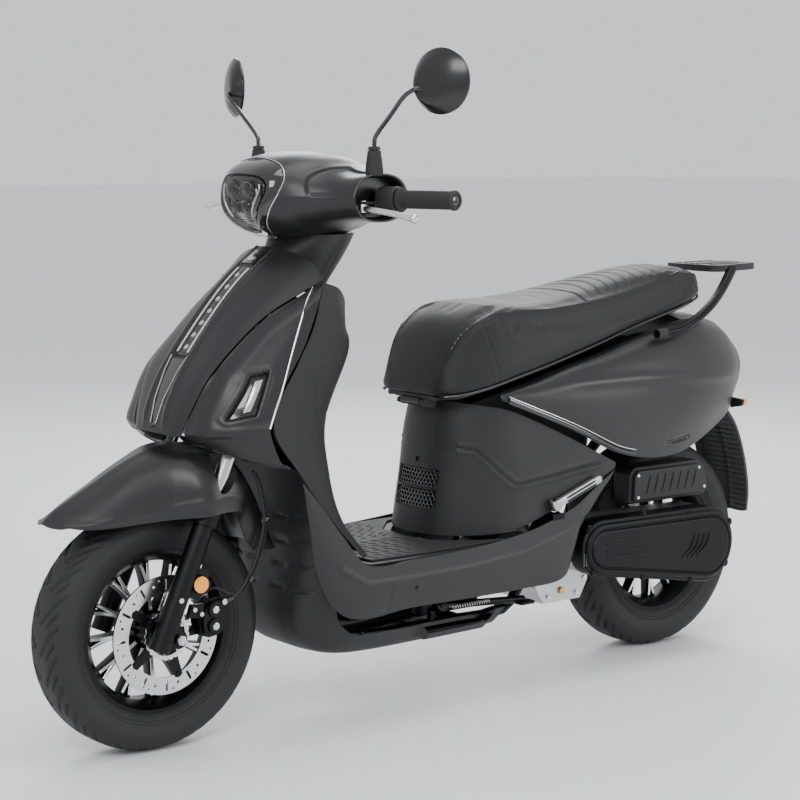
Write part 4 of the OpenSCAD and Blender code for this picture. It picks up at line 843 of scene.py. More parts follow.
def tyre_parts(at, r, w):
    """A tyre: its section turned about the axle, with slanted grooves that lower the tread's radius."""
    b = BEAD
    outer = spline([[b + .001, -w * .32], [b + .012, -w * .4], [(b + r) / 2 - .004, -w * .485],
                    [(b + r) / 2 + .008, -w * .498], [r - .022, -w * .475], [r - .011, -w * .41], [r - .004, -w * .31],
                    [r - .0002, -w * .18], [r - .0002, w * .18], [r - .004, w * .31], [r - .011, w * .41],
                    [r - .022, w * .475], [(b + r) / 2 + .008, w * .498], [(b + r) / 2 - .004, w * .485],
                    [b + .012, w * .4], [b + .001, w * .32]], np.linspace(0, 1, 96))
    inner = np.array([[b + .004, w * .27], [(b + r) / 2, w * .42], [r - .015, w * .4], [r - .009, 0],
                      [r - .015, -w * .4], [(b + r) / 2, -w * .42], [b + .004, -w * .27]])

    def grooves(q, y, rr):
        s = abs(y) / w
        crown = smooth(rr, r - .024, r - .018)
        turn = q / (2 * math.pi)
        lead = 1.25 * s + 0.5 * (y > 0)
        one = np.abs((turn * 24 + lead * 2.4) % 1 - 0.5)
        two = np.abs((turn * 24 + lead * 2.4 + 0.5) % 1 - 0.5)
        g = (1 - smooth(one, 0.055, 0.10)) * smooth(s, 0.05, 0.08) * (1 - smooth(s, 0.40, 0.43))
        h = (1 - smooth(two, 0.04, 0.085)) * smooth(s, 0.20, 0.23) * (1 - smooth(s, 0.36, 0.39))
        return -0.0042 * np.maximum(g, h) * crown
    body = turned(np.concatenate([outer, inner]), 480, 1, (at[0], 0, at[1]), grooves)
    rings = []
    for side in (-1, 1):
        for rad, yy in ((b + .017, .424), (b + .023, .446), (r - .030, .490)):
            c = oval(0.0007, 0.0009, 8) + [rad, side * w * yy]
            rings.append(turned(c, 160, 1, (at[0], 0, at[1])))
    return [body] + rings


FRONT = (-0.700, 0.2295)
REAR = (0.630, 0.2365)
make("front_tyre_tread", tyre_parts(FRONT, 0.2295, 0.112), "tyre_rubber", "front_wheel", ["front_tyre"])
make("rear_tyre_tread", tyre_parts(REAR, 0.2365, 0.122), "tyre_rubber", "rear_wheel", ["rear_tyre"])

# ---------------------------------------------------------------- wheels
# Black cast rims with twelve curved spokes, a machined bright edge on each spoke and flange, a
# finned hub and a valve.
MATS["black_alloy"] = metal("black_alloy", (0.022, 0.022, 0.024), 0.42, 900.0, 0.00015)
MATS["mat_rubber"] = grained("mat_rubber", (0.022, 0.022, 0.023), 0.66, 900.0, 0.0002)


def wheel(name, at, w, hub, hub_r, body, node):
    """One rim: its turned section and hub, with twelve pairs of spokes swept along bent radii."""
    b, h = BEAD, w * 0.32
    centre = (at[0], 0, at[1])
    section = [[b + .010, -h - .0028], [b + .010, -h - .0002], [b + .0005, -h + .0005], [b, -h + .012],
               [b - .015, -h + .020],
               [b - .015, h - .020], [b, h - .012], [b + .0005, h - .0005], [b + .010, h + .0002], [b + .010, h + .0028],
               [b - .003, h + .0028], [b - .019, h - .016], [b - .019, -h + .016], [b - .003, -h - .0028]]
    parts = [turned(section, 128, 1, centre)]
    bright = []
    for i in range(12):
        q = i * math.pi / 6
        for fork in (-1, 1):
            rad = np.linspace(hub_r - .004, b - .016, 14)
            bend = q + 0.10 * (rad - hub_r) / (b - hub_r) + fork * 0.075 * smooth(rad, hub_r + .03, b)
            path = np.stack([rad * np.cos(bend), 0 * rad,
                             rad * np.sin(bend)], -1) + centre
            width = 1.25 - 0.45 * (rad - hub_r) / (b - hub_r)
            parts.append(sweep(path, oval(0.0050, 0.0135, 12, 0.55), (0, 1, 0), width))
            for side in (-1, 1):
                bright.append(sweep(path[1:-1] + [0, side * 0.0131, 0] * width[1:-1, None],
                                    oval(0.0032, 0.0007, 8, 0.6), (0, 1, 0), width[1:-1]))
    y0, y1 = hub
    rim = []
    for k in range(9):
        y = y0 + (y1 - y0) * k / 8
        rr = hub_r - .001 - (.003 if k % 2 else 0)
        rim += [[rr, y - .001], [rr, y + .001]]
    rim[0][1], rim[-1][1] = y0, y1
    parts.append(turned([[0.012, y0]] + rim + [[0.012, y1]], 96, 1, centre))
    make(name, parts, "black_alloy", body, [node], sharp=45)
    for side in (-1, 1):
        bright.append(turned(oval(0.0006, 0.0013, 8) + [b + .0098, side * (h + .0014)], 128, 1, centre))
    make(name + "_machined_edges", bright, "satin_silver", body)
    valve = np.array([[at[0] + 0.128, -0.010, at[1]], [at[0] + 0.112, -0.016, at[1]],
                      [at[0] + 0.104, -0.019, at[1]]])
    make(name + "_valve", [sweep(valve, oval(0.004, 0.004, 12), (0, 0, 1), [1.2, 1.0, 0.8])], "mat_rubber",
         body)


wheel("front_wheel_rim", FRONT, 0.112, (-0.060, 0.066), 0.034, "front_wheel", "front_rim")
wheel("rear_wheel_rim", REAR, 0.122, (-0.040, 0.066), 0.044, "rear_wheel", "rear_rim")

# ---------------------------------------------------------------- brake disc
# Steel disc with slots and small holes by turns, on a black five-arm carrier with a toothed
# speed ring and black bobbins.


def placed(part, turn, at):
    """A part turned by a matrix and moved."""
    v, f = part
    return np.asarray(v) @ np.asarray(turn, float).T + np.asarray(at), f


centre = np.array([FRONT[0], 0, FRONT[1]])
loops = [ring_points(0.1134, 120), ring_points(0.0808, 120)]
for i in range(12):
    q = i * math.pi / 6
    loops.append(slot_points(0.089, 0.105, q, 0.0026))
    loops.append(ring_points(0.0031, 12, (0.097 * math.cos(q + 0.26), 0.097 * math.sin(q + 0.26))))
    loops.append(ring_points(0.0021, 10, (0.105 * math.cos(q + 0.13), 0.105 * math.sin(q + 0.13))))
disc = placed(plate(loops, -0.070, -0.066), np.eye(3), centre)
make("brake_disc_plate", [disc], "bright_steel", "front_wheel", ["front_disc"], bevel=0.0003)
arms = []
for i in range(5):
    q = i * 2 * math.pi / 5
    arm = [np.array([math.cos(q + t), math.sin(q + t)]) * r for r, t in
           ((0.028, -0.42), (0.056, -0.17), (0.086, -0.10), (0.0895, 0), (0.086, 0.10), (0.056, 0.17),
            (0.028, 0.42))]
    arms.append(placed(plate([arm], -0.0705, -0.0655), np.eye(3), centre))
    spot = centre + [0.082 * math.cos(q), -0.0705, 0.082 * math.sin(q)]
    arms.append(disc_part(spot, (0, -1, 0), 0.005, 0.002, 20))
arms.append(placed(plate([ring_points(0.034, 60), ring_points(0.0185, 40)], -0.0715, -0.0600), np.eye(3),
                   centre))
make("disc_carrier", arms, "black_alloy", "front_wheel", bevel=0.0004)
teeth = [ring_points(0.046, 96) * (1 + 0.05 * (np.arange(96) // 2 % 2))[:, None], ring_points(0.039, 60)]
make("speed_ring", [placed(plate(teeth, -0.0735, -0.0715), np.eye(3), centre)], "bright_steel", "front_wheel")
bolts = [disc_part(centre + [0.027 * math.cos(q), -0.0715, 0.027 * math.sin(q)], (0, -1, 0), 0.0042, 0.003, 6)
         for q in np.arange(5) * 2 * math.pi / 5 + 0.6]
make("disc_bolts", bolts, "bright_steel", "front_wheel")

# ---------------------------------------------------------------- fork details
# Rubber gaiters over the sliders, an amber reflector, axle nuts, pinch bolts, a two-piston
# caliper and the brake hose with the speed sensor's lead beside it.


def turn_about(axis, degrees):
    """Matrix of a turn about one axis by that many degrees."""
    from mathutils import Matrix
    return np.array(Matrix.Rotation(math.radians(degrees), 3, axis))


MATS["amber_lens"] = Material("amber_lens", (0.95, 0.33, 0.01), 0.18, coat_weight=0.8).data
RAKE = math.radians(24.5)
FOOT = np.array([-0.680, 0, 0.2295])


def leg(s, x, y):
    """A point by the left fork leg: s up the steering axis, x behind it, y across, in mm."""
    return FOOT + np.array([s * math.sin(RAKE) + x * math.cos(RAKE), y,
                            s * math.cos(RAKE) - x * math.sin(RAKE)]) / 1000
spin = turn_about("Y", 24.5)
gaiters = []
for y in (-105, 105):
    prof = [[0.0155, 0.0]]
    for k in range(4):
        prof += [[0.0235 - 0.001 * k, 0.001 + 0.006 * k], [0.0235 - 0.001 * k, 0.004 + 0.006 * k],
                 [0.0195, 0.0065 + 0.006 * k]]
    prof += [[0.0155, 0.026]]
    gaiters.append(placed(turned(prof, 48, 2), spin, leg(238.5, -50, y)))
make("fork_gaiters", gaiters, "mat_rubber", "fork")
out = np.array([0, -1, 0])
amber = disc_part(leg(100, -18, -122.8), out, 0.0155, 0.0014, 36, 0.0008)
make("fork_reflector", [amber], "amber_lens", "fork")
nuts = [disc_part((-0.700, -0.1205, 0.2295), out, 0.0105, 0.006, 6),
        disc_part((-0.700, -0.1265, 0.2295), out, 0.0065, 0.003, 20),
        disc_part(leg(60, -50, -124.5), out, 0.0055, 0.003, 6), disc_part(leg(132, -30, -110.5), out, 0.0055,
                                                                          0.004, 6)]
nuts += [mirrored(nuts[0]), mirrored(nuts[1])]
make("axle_nuts", nuts, "bright_steel", "fork")
front = [[-636, 222], [-640, 250], [-634, 276], [-616, 291], [-594, 292], [-583, 280], [-580, 256],
         [-583, 230], [-596, 219],
         [-618, 216]]
front = np.array(front) / 1000
mid = front.mean(0)
body = [plate([front], -0.0905, -0.0735), plate([mid + (front - mid) * 0.86], -0.0985, -0.0895),
        plate([mid + (front - mid) * 0.9], -0.0625, -0.0535)]
bridge = plate([np.array([[-606, 288], [-606, 222], [-584, 226], [-581, 256], [-584, 282]]) / 1000], -0.092,
               -0.054)
ears = [plate([np.array([[-668, 262], [-634, 256], [-632, 284], [-660, 286]]) / 1000], -0.0965, -0.0865)]
for z in (0.239, 0.271):
    body.append(disc_part((-0.611, -0.0975, z), out, 0.0145, 0.0065, 36))
make("caliper_body", body + [bridge] + ears, "black_alloy", "fork", ["front_caliper"], bevel=0.0014)
bolts = [disc_part((-0.611, -0.104, z), out, 0.0075, 0.0012, 6) for z in (0.239, 0.271)]
bolts += [disc_part((x, -0.0963, z), out, 0.005, 0.005, 6) for x, z in ((-0.655, 0.276), (-0.640, 0.266))]
bolts.append(disc_part((-0.590, -0.097, 0.283), out, 0.0065, 0.006, 6))
make("caliper_bolts", bolts, "bright_steel", "fork")
HOSE = [[-588, -98, 285], [-572, -101, 289], [-550, -103, 306], [-525, -104, 345], [-507, -104, 393],
        [-501, -105, 432],
        [-508, -108, 472], [-518, -111, 503], [-530, -112, 527]]
line = spline(np.array(HOSE) / 1000, np.linspace(0, 1, 160))
lead = spline(np.array(HOSE[1:]) / 1000 + [0.009, 0.004, -0.004], np.linspace(0, 1, 140))
lead = np.concatenate([spline([[-0.630, -0.078, 0.300], [-0.610, -0.100, 0.312], [-0.585, -0.108, 0.300]],
                              np.linspace(0, 0.95, 20)), lead[6:]])
make("brake_hose_line", [sweep(line, oval(0.0034, 0.0034, 14)), sweep(lead, oval(0.0022, 0.0022, 12))],
     "mat_rubber", "fork",
     ["brake_hose"])
clips = []
for t in (0.30, 0.62):
    i = int(t * 159)
    clips.append(sweep(line[i:i + 5] + [0.004, 0.002, -0.002], oval(0.0095, 0.0050, 14, 0.7)))
clips.append(sweep(spline(np.array(HOSE[:3]) / 1000, np.linspace(0, 0.5, 6)), oval(0.0048, 0.0048, 12)))
make("hose_clips", clips, "gloss_black", "fork")

# The fender has a round opening for each fork leg, wide enough for the leg's collar.
fender = bpy.data.objects["front_fender_shell"]
bpy.context.view_layer.objects.active = fender
for y in (-105, 105):
    low, high = leg(250, -50, y), leg(430, -50, y)
    bore = make("bore", [disc_part(low, high - low, 0.031, 0.18, 64)], "trim_black", "fork")
    cut = fender.modifiers.new("bore", "BOOLEAN")
    cut.object = bore
    bpy.ops.object.modifier_move_to_index(modifier="bore", index=0)
    bpy.ops.object.modifier_apply(modifier="bore")
    bpy.data.objects.remove(bore)

# ---------------------------------------------------------------- handlebar cowl
# The painted cowl over the handlebar. Its nose holds the headlamp, a crease runs along each arm,
# and each arm ends in a cup for the switch housing.
COWL = [
    [0, -492, -192, 1124, 955], [45, -488, -193, 1121, 957], [78, -470, -197, 1112, 965],
    [105, -432, -203, 1099, 978], [135, -396, -210, 1089, 986], [170, -370, -220, 1085, 990],
    [202, -356, -230, 1083, 991]]
half = np.array(COWL, float) / 1000
right = half[1:]
left = right[::-1] * [-1, 1, 1, 1, 1]
stations = spline(np.concatenate([left, half[:1], right]), np.linspace(0, 1, 300))
LAMP = [[0, 1082], [40, 1080], [62, 1075], [74, 1062], [74, 1044], [62, 1018], [50, 998], [32, 978],
        [18, 970], [0, 967],
        [-18, 970], [-32, 978], [-50, 998], [-62, 1018], [-74, 1044], [-74, 1062], [-62, 1075], [-40, 1080]]
SURROUND = [[0, 1112], [44, 1108], [76, 1096], [92, 1074], [91, 1046], [78, 1012], [60, 986], [38, 966],
            [18, 960], [0, 958],
            [-18, 960], [-38, 966], [-60, 986], [-78, 1012], [-91, 1046], [-92, 1074], [-76, 1096], [-44, 1108]]


def cowl_grid(n, lift=0.0):
    """Rounded ovals, from cosine and sine to the power 0.84, through the stations across the cowl."""
    q = np.linspace(0, 2 * math.pi, n, endpoint=False)
    c, s = np.cos(q), np.sin(q)
    c, s = np.sign(c) * abs(c) ** 0.84, np.sign(s) * abs(s) ** 0.84
    y, x0, x1, z0, z1 = [stations[:, [k]] for k in range(5)]
    x = (x0 + x1) / 2 + ((x1 - x0) / 2 + lift) * c
    z = (z0 + z1) / 2 + ((z0 - z1) / 2 + lift) * s
    return np.stack([x, np.repeat(y, n, 1), z], -1)


def closed_line(points, n):
    """Smooth closed curve through points, read at n places."""
    p = np.array(points, float)
    k = np.linspace(0, len(p), n, endpoint=False)
    return spline(np.concatenate([p[-2:], p, p[:3]]), (k + 2) / (len(p) + 4))


g = cowl_grid(260)
out = normals(g)
mid = g.mean(1, keepdims=True)
out = out * np.sign(((g - mid) * out).sum(-1, keepdims=True).mean())
front = 1 - smooth(g[..., 0], -0.40, -0.36)
bed = inside(g, SURROUND, 0.003, (1, 2)) * front
bowl = inside(g, LAMP, 0.004, (1, 2)) * front
a = abs(g[..., 1])
back = smooth(g[..., 0], -0.33, -0.30)
dial = smooth(0.064 - a, 0, 0.003) * smooth(g[..., 2], 1.082, 1.085) * back
crease = 0.0060 * np.exp(-abs(g[..., 2] - 1.039) / 0.014) * smooth(a, 0.085,
                                                                   0.13) * (1 - smooth(g[..., 0], -0.31, -0.27))
facet = -0.0050 * smooth(a - 0.112 - 0.30 * (1.075 - g[..., 2]).clip(0), 0.0, 0.006) * smooth(g[..., 2], 1.036, 1.048) * \
    (1 - smooth(a, 0.15, 0.20)) * (g[..., 0] < -0.3)
seam = -0.0014 * np.exp(-((g[..., 2] - 1.022) / 0.0015) ** 2) * (g[..., 0] > -0.27) * (a > 0.07)
g = g + out * (-0.0035 * bed - 0.016 * bowl - 0.003 * dial + crease + facet + seam)[..., None]
end = g.mean(1, keepdims=True)
ends = [[end[k] + (g[k] - end[k]) * [s, 1, s] - [0, side * d, 0] for s, d in steps]
        for k, side, steps in ((0, -1, ((0.80, 0.030), (0.88, 0.020), (0.90, 0.002), (0.94, 0.0))),
                               (-1, 1, ((0.94, 0.0), (0.90, 0.002), (0.88, 0.020), (0.80, 0.030))))]
g = np.concatenate([ends[0], g, ends[1]])
make("cowl_shell", [tube(g)], "body_paint", "steering", ["headlight_cowl"])
cowl = Surface(np.concatenate([cowl_grid(140), cowl_grid(140)[:, :1]], axis=1))
rings = []
inner, outer = closed_line(LAMP, 120), closed_line(SURROUND, 120)
for k in np.linspace(0.03, 0.97, 12):
    rings.append(cowl.lay(inner * (1 - k) + outer * k, 0, -1, -0.0012 + 0.0016 * math.sin(math.pi * k)))
rings = np.array(rings)
rings = np.concatenate([rings, rings[:, :1]], axis=1)
face = shell(rings, 0.004, flip=bool(normals(rings)[..., 0].mean() > 0))
make("lamp_surround", [face], "gloss_black", "steering")
line = cowl.lay(outer, 0, -1, 0.0004)
ring = np.concatenate([line, line[:3]])
make("surround_bright_line", [sweep(ring, oval(0.0011, 0.0011, 8), (1, 0, 0))], "satin_silver", "steering")

# ---------------------------------------------------------------- headlamp
# A clear bowed lens over two round lamp units in a dark bowl, with a bright bracket on each side
# and a row of small ribs under them.
MATS["lamp_grey"] = Material("lamp_grey", (0.20, 0.205, 0.215), 0.14, 0.8).data
centre = np.array([0.0, 1030.0])
rings = []
for k in np.linspace(0.02, 1.0, 26):
    rings.append(cowl.lay(centre + (inner - centre) * k * 0.985, 0, -1, 0.0002 + 0.003 * (1 - k * k)))
rings = np.array(rings)
rings = np.concatenate([rings, rings[:, :1]], axis=1)
make("headlamp_lens", [shell(rings, 0.0018, flip=bool(normals(rings)[..., 0].mean() > 0))], "clear_lens",
     "steering",
     ["headlight_lens"])
rings = []
for k in np.linspace(0.02, 1.0, 26):
    rings.append(cowl.lay(centre + (inner - centre) * k * 0.96, 0, -1, -0.0145 + 0.010 * k**6))
rings = np.array(rings)
rings = np.concatenate([rings, rings[:, :1]], axis=1)
bowl = [shell(rings, 0.0012, flip=bool(normals(rings)[..., 0].mean() > 0))]
make("headlamp_bowl", bowl, "gloss_black", "steering", ["headlight_unit"])
units, rims, bars = [], [], []
for y in (-27, 27):
    for z, r in ((1052, 0.0155), (1016, 0.0105)):
        yy = y if z > 1030 else y * 0.7
        spot = cowl.lay([(yy, z)], 0, -1, -0.0125)[0]
        aim_dir = (-0.97, 0, -0.2)
        units.append(disc_part(spot, aim_dir, r, 0.003, 40, 0.0035))
        rims.append(placed(turned([(r, -0.001), (r + 0.0025, -0.001), (r + 0.0022, 0.005), (r, 0.004)], 48,
                                  0),
                           turn_about("Y", -12), spot))
for s in (-1, 1):
    for dz, w in ((0, 62), (9, 58)):
        pts = [(s * (w - 2), 1064 - dz), (s * w, 1050 - dz), (s * (w - 12), 1026 - dz),
               (s * (w - 24), 1004 - dz)]
        bars.append(sweep(cowl.lay(along(pts, 24), 0, -1, -0.006), oval(0.0022, 0.0011, 10), (1, 0, 0)))
for k in range(5):
    z = 1001 - 5 * k
    bars.append(sweep(cowl.lay([(y, z) for y in np.linspace(-14 + 1.5 * k, 14 - 1.5 * k, 9)], 0, -1, -0.009),
                      oval(0.0013, 0.0012, 8), (1, 0, 0)))
make("headlamp_units", units, "gloss_black", "steering")
make("headlamp_rims", rims, "lamp_grey", "steering")
make("headlamp_light_bars", bars, "satin_silver", "steering")

# ---------------------------------------------------------------- cowl neck
# The dark moulding that carries the cowl down over the steering head, with a fold on each side.
foot_at = np.array([-0.680, 0, 0.2295])
along_axis = np.array([math.sin(math.radians(24.5)), 0, math.cos(math.radians(24.5))])
across = np.array([math.cos(math.radians(24.5)), 0, -math.sin(math.radians(24.5))])
rings = []
q = np.linspace(0, 2 * math.pi, 160, endpoint=False)
for t in np.linspace(0, 1, 60):
    flare = smooth(t, 0.1, 1.0)
    fold = 1 - 0.045 * np.exp(-((abs(np.sin(q)) - 0.93) / 0.05) ** 2) * (1 - t)
    wide = 0.071 * (1 + 0.55 * flare * (np.cos(q) > 0) * abs(np.cos(q)))
    ring = foot_at + along_axis * (0.716 + 0.102 * t) + across * (0.022 + wide * np.cos(q) * fold)[:, None]
    ring = ring + np.array([0, 1, 0]) * (0.062 * (1 + 0.45 * flare) * np.sin(q) * fold)[:, None]
    rings.append(ring + np.array([0, 0, 1]) * (flare * math.sin(math.radians(24.5)) * wide * np.cos(q))[:, None])
make("cowl_neck", [tube(rings)], "trim_black", "steering")

# ---------------------------------------------------------------- instruments
# A shallow binnacle facing the rider: dark glass in a raised frame, with a display and six lamps.
tilt = turn_about("Y", 20)
at = np.array([-0.262, 0, 1.086])


def slab(x0, x1, y0, y1, z0, z1, r=0.004):
    """A plate between those limits, with a rounded outline and a rounded upper edge."""
    q = oval((x1 - x0) / 2, (y1 - y0) / 2, 40, 0.32)
    c = np.array([(x0 + x1) / 2, (y0 + y1) / 2])
    k = 1 - r / ((x1 - x0) / 2)
    levels = [(1.0, z0), (1.0, z1 - r * 0.5), (0.5 + 0.5 * k, z1 - r * 0.15), (k, z1)]
    return tube([np.column_stack([q * s + c, np.full(40, z)]) for s, z in levels][::-1])


glass = slab(0.0, 0.062, -0.058, 0.058, 0.000, 0.0105)
make("instrument_glass", [placed(glass, tilt, at)], "gloss_black", "steering", ["instrument_cluster"])
q = np.linspace(0, 2 * math.pi, 81)[:-1]
loop = np.column_stack([0.031 + 0.0315 * np.sign(np.cos(q)) * abs(np.cos(q)) ** 0.4,
                        0.0585 * np.sign(np.sin(q)) * abs(np.sin(q)) ** 0.4, np.full(80, 0.010)])
loop = np.concatenate([loop, loop[:2]])
frame_part = sweep(loop, oval(0.0022, 0.0020, 10))
make("instrument_frame", [placed(frame_part, tilt, at)], "trim_black", "steering")
marks = [slab(0.016, 0.046, -0.030, 0.030, 0.0103, 0.0113, 0.001)]
make("instrument_display", [placed(m, tilt, at) for m in marks], "satin_silver", "steering")
lamps = [placed(disc_part((0.031 + dx, s * 0.044, 0.0102), (0, 0, 1), 0.0028, 0.0008, 16), tilt, at)
         for s in (-1, 1) for dx in (-0.014, 0, 0.014)]
make("instrument_lamps", lamps, "amber_lens", "steering")

# ---------------------------------------------------------------- bar, grips and switch housings
# A black bar with ribbed rubber grips, black clamshell housings that carry the switches and the
# lever perches, and ball-ended cast levers.
bar_mid = np.array([-0.3130, 0, 1.0348])


def on_bar(part):
    """A part turned 14 degrees about Z and moved to the handlebar's left arm."""
    return placed(part, turn_about("Z", 14), bar_mid + [0, -0.070, 0])


def both(part):
    """A part and its copy on the other side."""
    return [part, mirrored(part)]


tube_part = sweep(np.array([[0, 0, 0], [0, -0.1, 0], [0, -0.292, 0]]), oval(0.0111, 0.0111, 32))
straight = sweep(bar_mid + np.array([[0, -0.072, 0], [0, 0, 0], [0, 0.072, 0]]), oval(0.0111, 0.0111, 32))
clamp = turned([(0.0142, 0.766), (0.0185, 0.766), (0.0190, 0.770), (0.0190, 0.872), (0.0142, 0.872)], 48, 2)
clamp = placed(clamp, turn_about("Y", 24.5), foot_at)
make("handlebar_tube", both(on_bar(tube_part)) + [straight, clamp], "frame_black", "steering", ["handlebar"])
outline = [(0.0113, -0.170), (0.0215, -0.170), (0.0228, -0.1715), (0.0228, -0.1735), (0.0205, -0.1755),
           (0.0165, -0.1775)]
for k in range(12):
    y = -0.181 - 0.0088 * k
    outline += [(0.0160, y), (0.0174, y - 0.0012), (0.0174, y - 0.0056), (0.0160, y - 0.0068)]
outline += [(0.0165, -0.2895), (0.0188, -0.2915), (0.0190, -0.2965), (0.0165, -0.2998), (0.0113, -0.2998)]


def knurl(q, y, r):
    """Change of radius over a grip: 0.6 mm lower where the sine of 24 times the angle is over 0.3."""
    return np.where((r > 0.0170) & (y < -0.18) & (y > -0.288), -0.0006 * (np.sin(q * 24) > 0.3), 0.0)


grip = on_bar(turned(outline, 144, 1, wobble=knurl))
make("left_grip", [grip], "mat_rubber", "steering", ["grip_left"])
make("throttle_sleeve", [mirrored(grip)], "mat_rubber", "throttle", ["throttle_grip"])
plugs = []
for s in (-1, 1):
    plug = on_bar(disc_part((0, -0.2925, 0), (0, -1, 0), 0.0108, 0.006, 32, 0.0016))
    plugs.append(plug if s < 0 else mirrored(plug))
make("left_bar_end", plugs[:1], "gloss_black", "steering")
make("right_bar_end", plugs[1:], "gloss_black", "steering")
shape_rings = []
for y, k in ((-0.1245, 0.86), (-0.1265, 0.97), (-0.131, 1.0), (-0.145, 1.0), (-0.1595, 1.0), (-0.1645, 0.96),
             (-0.1668, 0.86)):
    q = oval(0.0245 * k, 0.0240 * k, 64, 0.8)
    shape_rings.append(np.column_stack([q[:, 0], np.full(64, y), q[:, 1]]))
pod = tube(shape_rings)
perch = slab(-0.052, -0.012, -0.131, -0.106, -0.030, -0.0255, 0.002)
perch_top = slab(-0.052, -0.012, -0.131, -0.106, -0.0088, -0.0042, 0.002)
arm = slab(-0.026, -0.004, -0.131, -0.106, -0.028, -0.006, 0.003)
make("switch_pods", [p for part in (pod, perch, perch_top, arm) for p in both(on_bar(part))], "trim_black",
     "steering",
     ["switch_housings"], bevel=0.0006)
screws = [on_bar(disc_part((-0.047, -0.117, -0.0045), (0, 0, 1), 0.0055, 0.0022, 6)),
          on_bar(disc_part((0.004, -0.1345, -0.0238), (0, 0, -1), 0.0032, 0.0012, 16)),
          on_bar(disc_part((0.004, -0.1575, -0.0238), (0, 0, -1), 0.0032, 0.0012, 16))]
make("lever_pivot_bolts", [p for part in screws for p in both(part)], "bright_steel", "steering")
bezels = []
for s in (-1, 1):
    ring = turned([(0.0064, 0.0225), (0.0082, 0.0225), (0.0082, 0.0252), (0.0064, 0.0256)], 40, 0,
                  (0, -0.152, -0.009))
    bezels.append(on_bar(ring) if s < 0 else mirrored(on_bar(ring)))
make("button_bezels", bezels, "gloss_black", "steering")
LEVER = [[0, 0, 0], [-17, -30, -1], [-29, -80, -5], [-33, -122, -11], [-31, -143, -15]]
path = spline(np.array(LEVER) / 1000, np.linspace(0, 1, 60)) + [-0.047, -0.117, -0.017]
t = np.linspace(0, 1, 60)
blade = sweep(path, oval(0.0042, 0.0066, 24, 0.8), scale=1.0 - 0.12 * np.sin(math.pi * t))
q = np.linspace(0, math.pi, 22)
ball = turned(np.column_stack([0.0088 * np.sin(q) + 1e-5, 0.0088 * np.cos(q)]), 40, 1,
              np.array([-0.078, -0.260, -0.032]))
boss = turned([(0.0041, -0.0074), (0.0096, -0.0074), (0.0100, -0.0066), (0.0100, 0.0066), (0.0096, 0.0074),
               (0.0041, 0.0074)],
              40, 2, (-0.047, -0.117, -0.017))
lever = [on_bar(p) for p in (blade, ball, boss)]
make("left_brake_lever", lever, "satin_silver", "left_lever", ["brake_lever_left"])
make("right_brake_lever", [mirrored(p) for p in lever], "satin_silver", "right_lever", ["brake_lever_right"])
knob = on_bar(disc_part((0.0205, -0.152, -0.009), (1, 0, 0), 0.0059, 0.0072, 32, 0.0010))
make("horn_push", [knob], "trim_black", "horn", ["horn_button"])
make("starter_push", [mirrored(knob)], "amber_lens", "starter", ["starter_button"])
toggle = placed(slab(-0.0028, 0.0028, -0.0039, 0.0039, 0, 0.0085, 0.0012), turn_about("Y", 90),
                (0.0202, -0.150, 0.0075))
make("turn_toggle", [on_bar(toggle)], "trim_black", "turn", ["turn_switch"])

# ---------------------------------------------------------------- mirrors
# Each round mirror hangs on a ball at the end of a bent black stem that stands in a rubber boot.
MATS["mirror_glass"] = Material("mirror_glass", (0.82, 0.84, 0.86), 0.03, 1.0).data
MATS["mirror_black"] = Material("mirror_black", (0.010, 0.010, 0.011), 0.24).data
STEM = [[-302, 192, 1092], [-302, 192, 1136], [-302, 200, 1156], [-303, 244, 1192], [-305, 284, 1224],
        [-298, 308, 1238],
        [-287, 314, 1239]]
path = spline(np.array(STEM) / 1000, np.linspace(0, 1, 90))
stem = sweep(path, oval(0.0045, 0.0045, 20), (1, 0, 0))
ball = turned(np.column_stack([0.0078 * np.sin(q) + 1e-5, 0.0078 * np.cos(q)]), 36, 2, (-0.284, 0.314, 1.239))
foot = turned([(0.001, 1.0790), (0.0168, 1.0790), (0.0172, 1.089), (0.0160, 1.098), (0.0162, 1.0995),
               (0.0148, 1.1075),
               (0.0150, 1.109), (0.0136, 1.1165), (0.0128, 1.1252), (0.0046, 1.1275), (0.001, 1.1275)], 48, 2, (-0.302, 0.192, 0))
nut = turned([(0.0046, 1.1265), (0.0118, 1.1265), (0.0120, 1.1285), (0.0108, 1.1335), (0.0046, 1.1340)], 6, 2,
             (-0.302, 0.192, 0))
make("mirror_arms", [p for part in (stem, ball) for p in both(part)], "gloss_black", "steering",
     ["mirror_stems"])
make("mirror_boots", both(foot), "mat_rubber", "steering")
make("mirror_nuts", both(nut), "trim_black", "steering")
r = 0.061
rim = [(r, 0.0062), (r * 0.995, 0.009), (r * 0.965, 0.0098), (r * 0.945, 0.0090), (r * 0.94, 0.0075),
       (0.0005, 0.0075)]
q = np.linspace(0, 2 * math.pi, 96, endpoint=False)
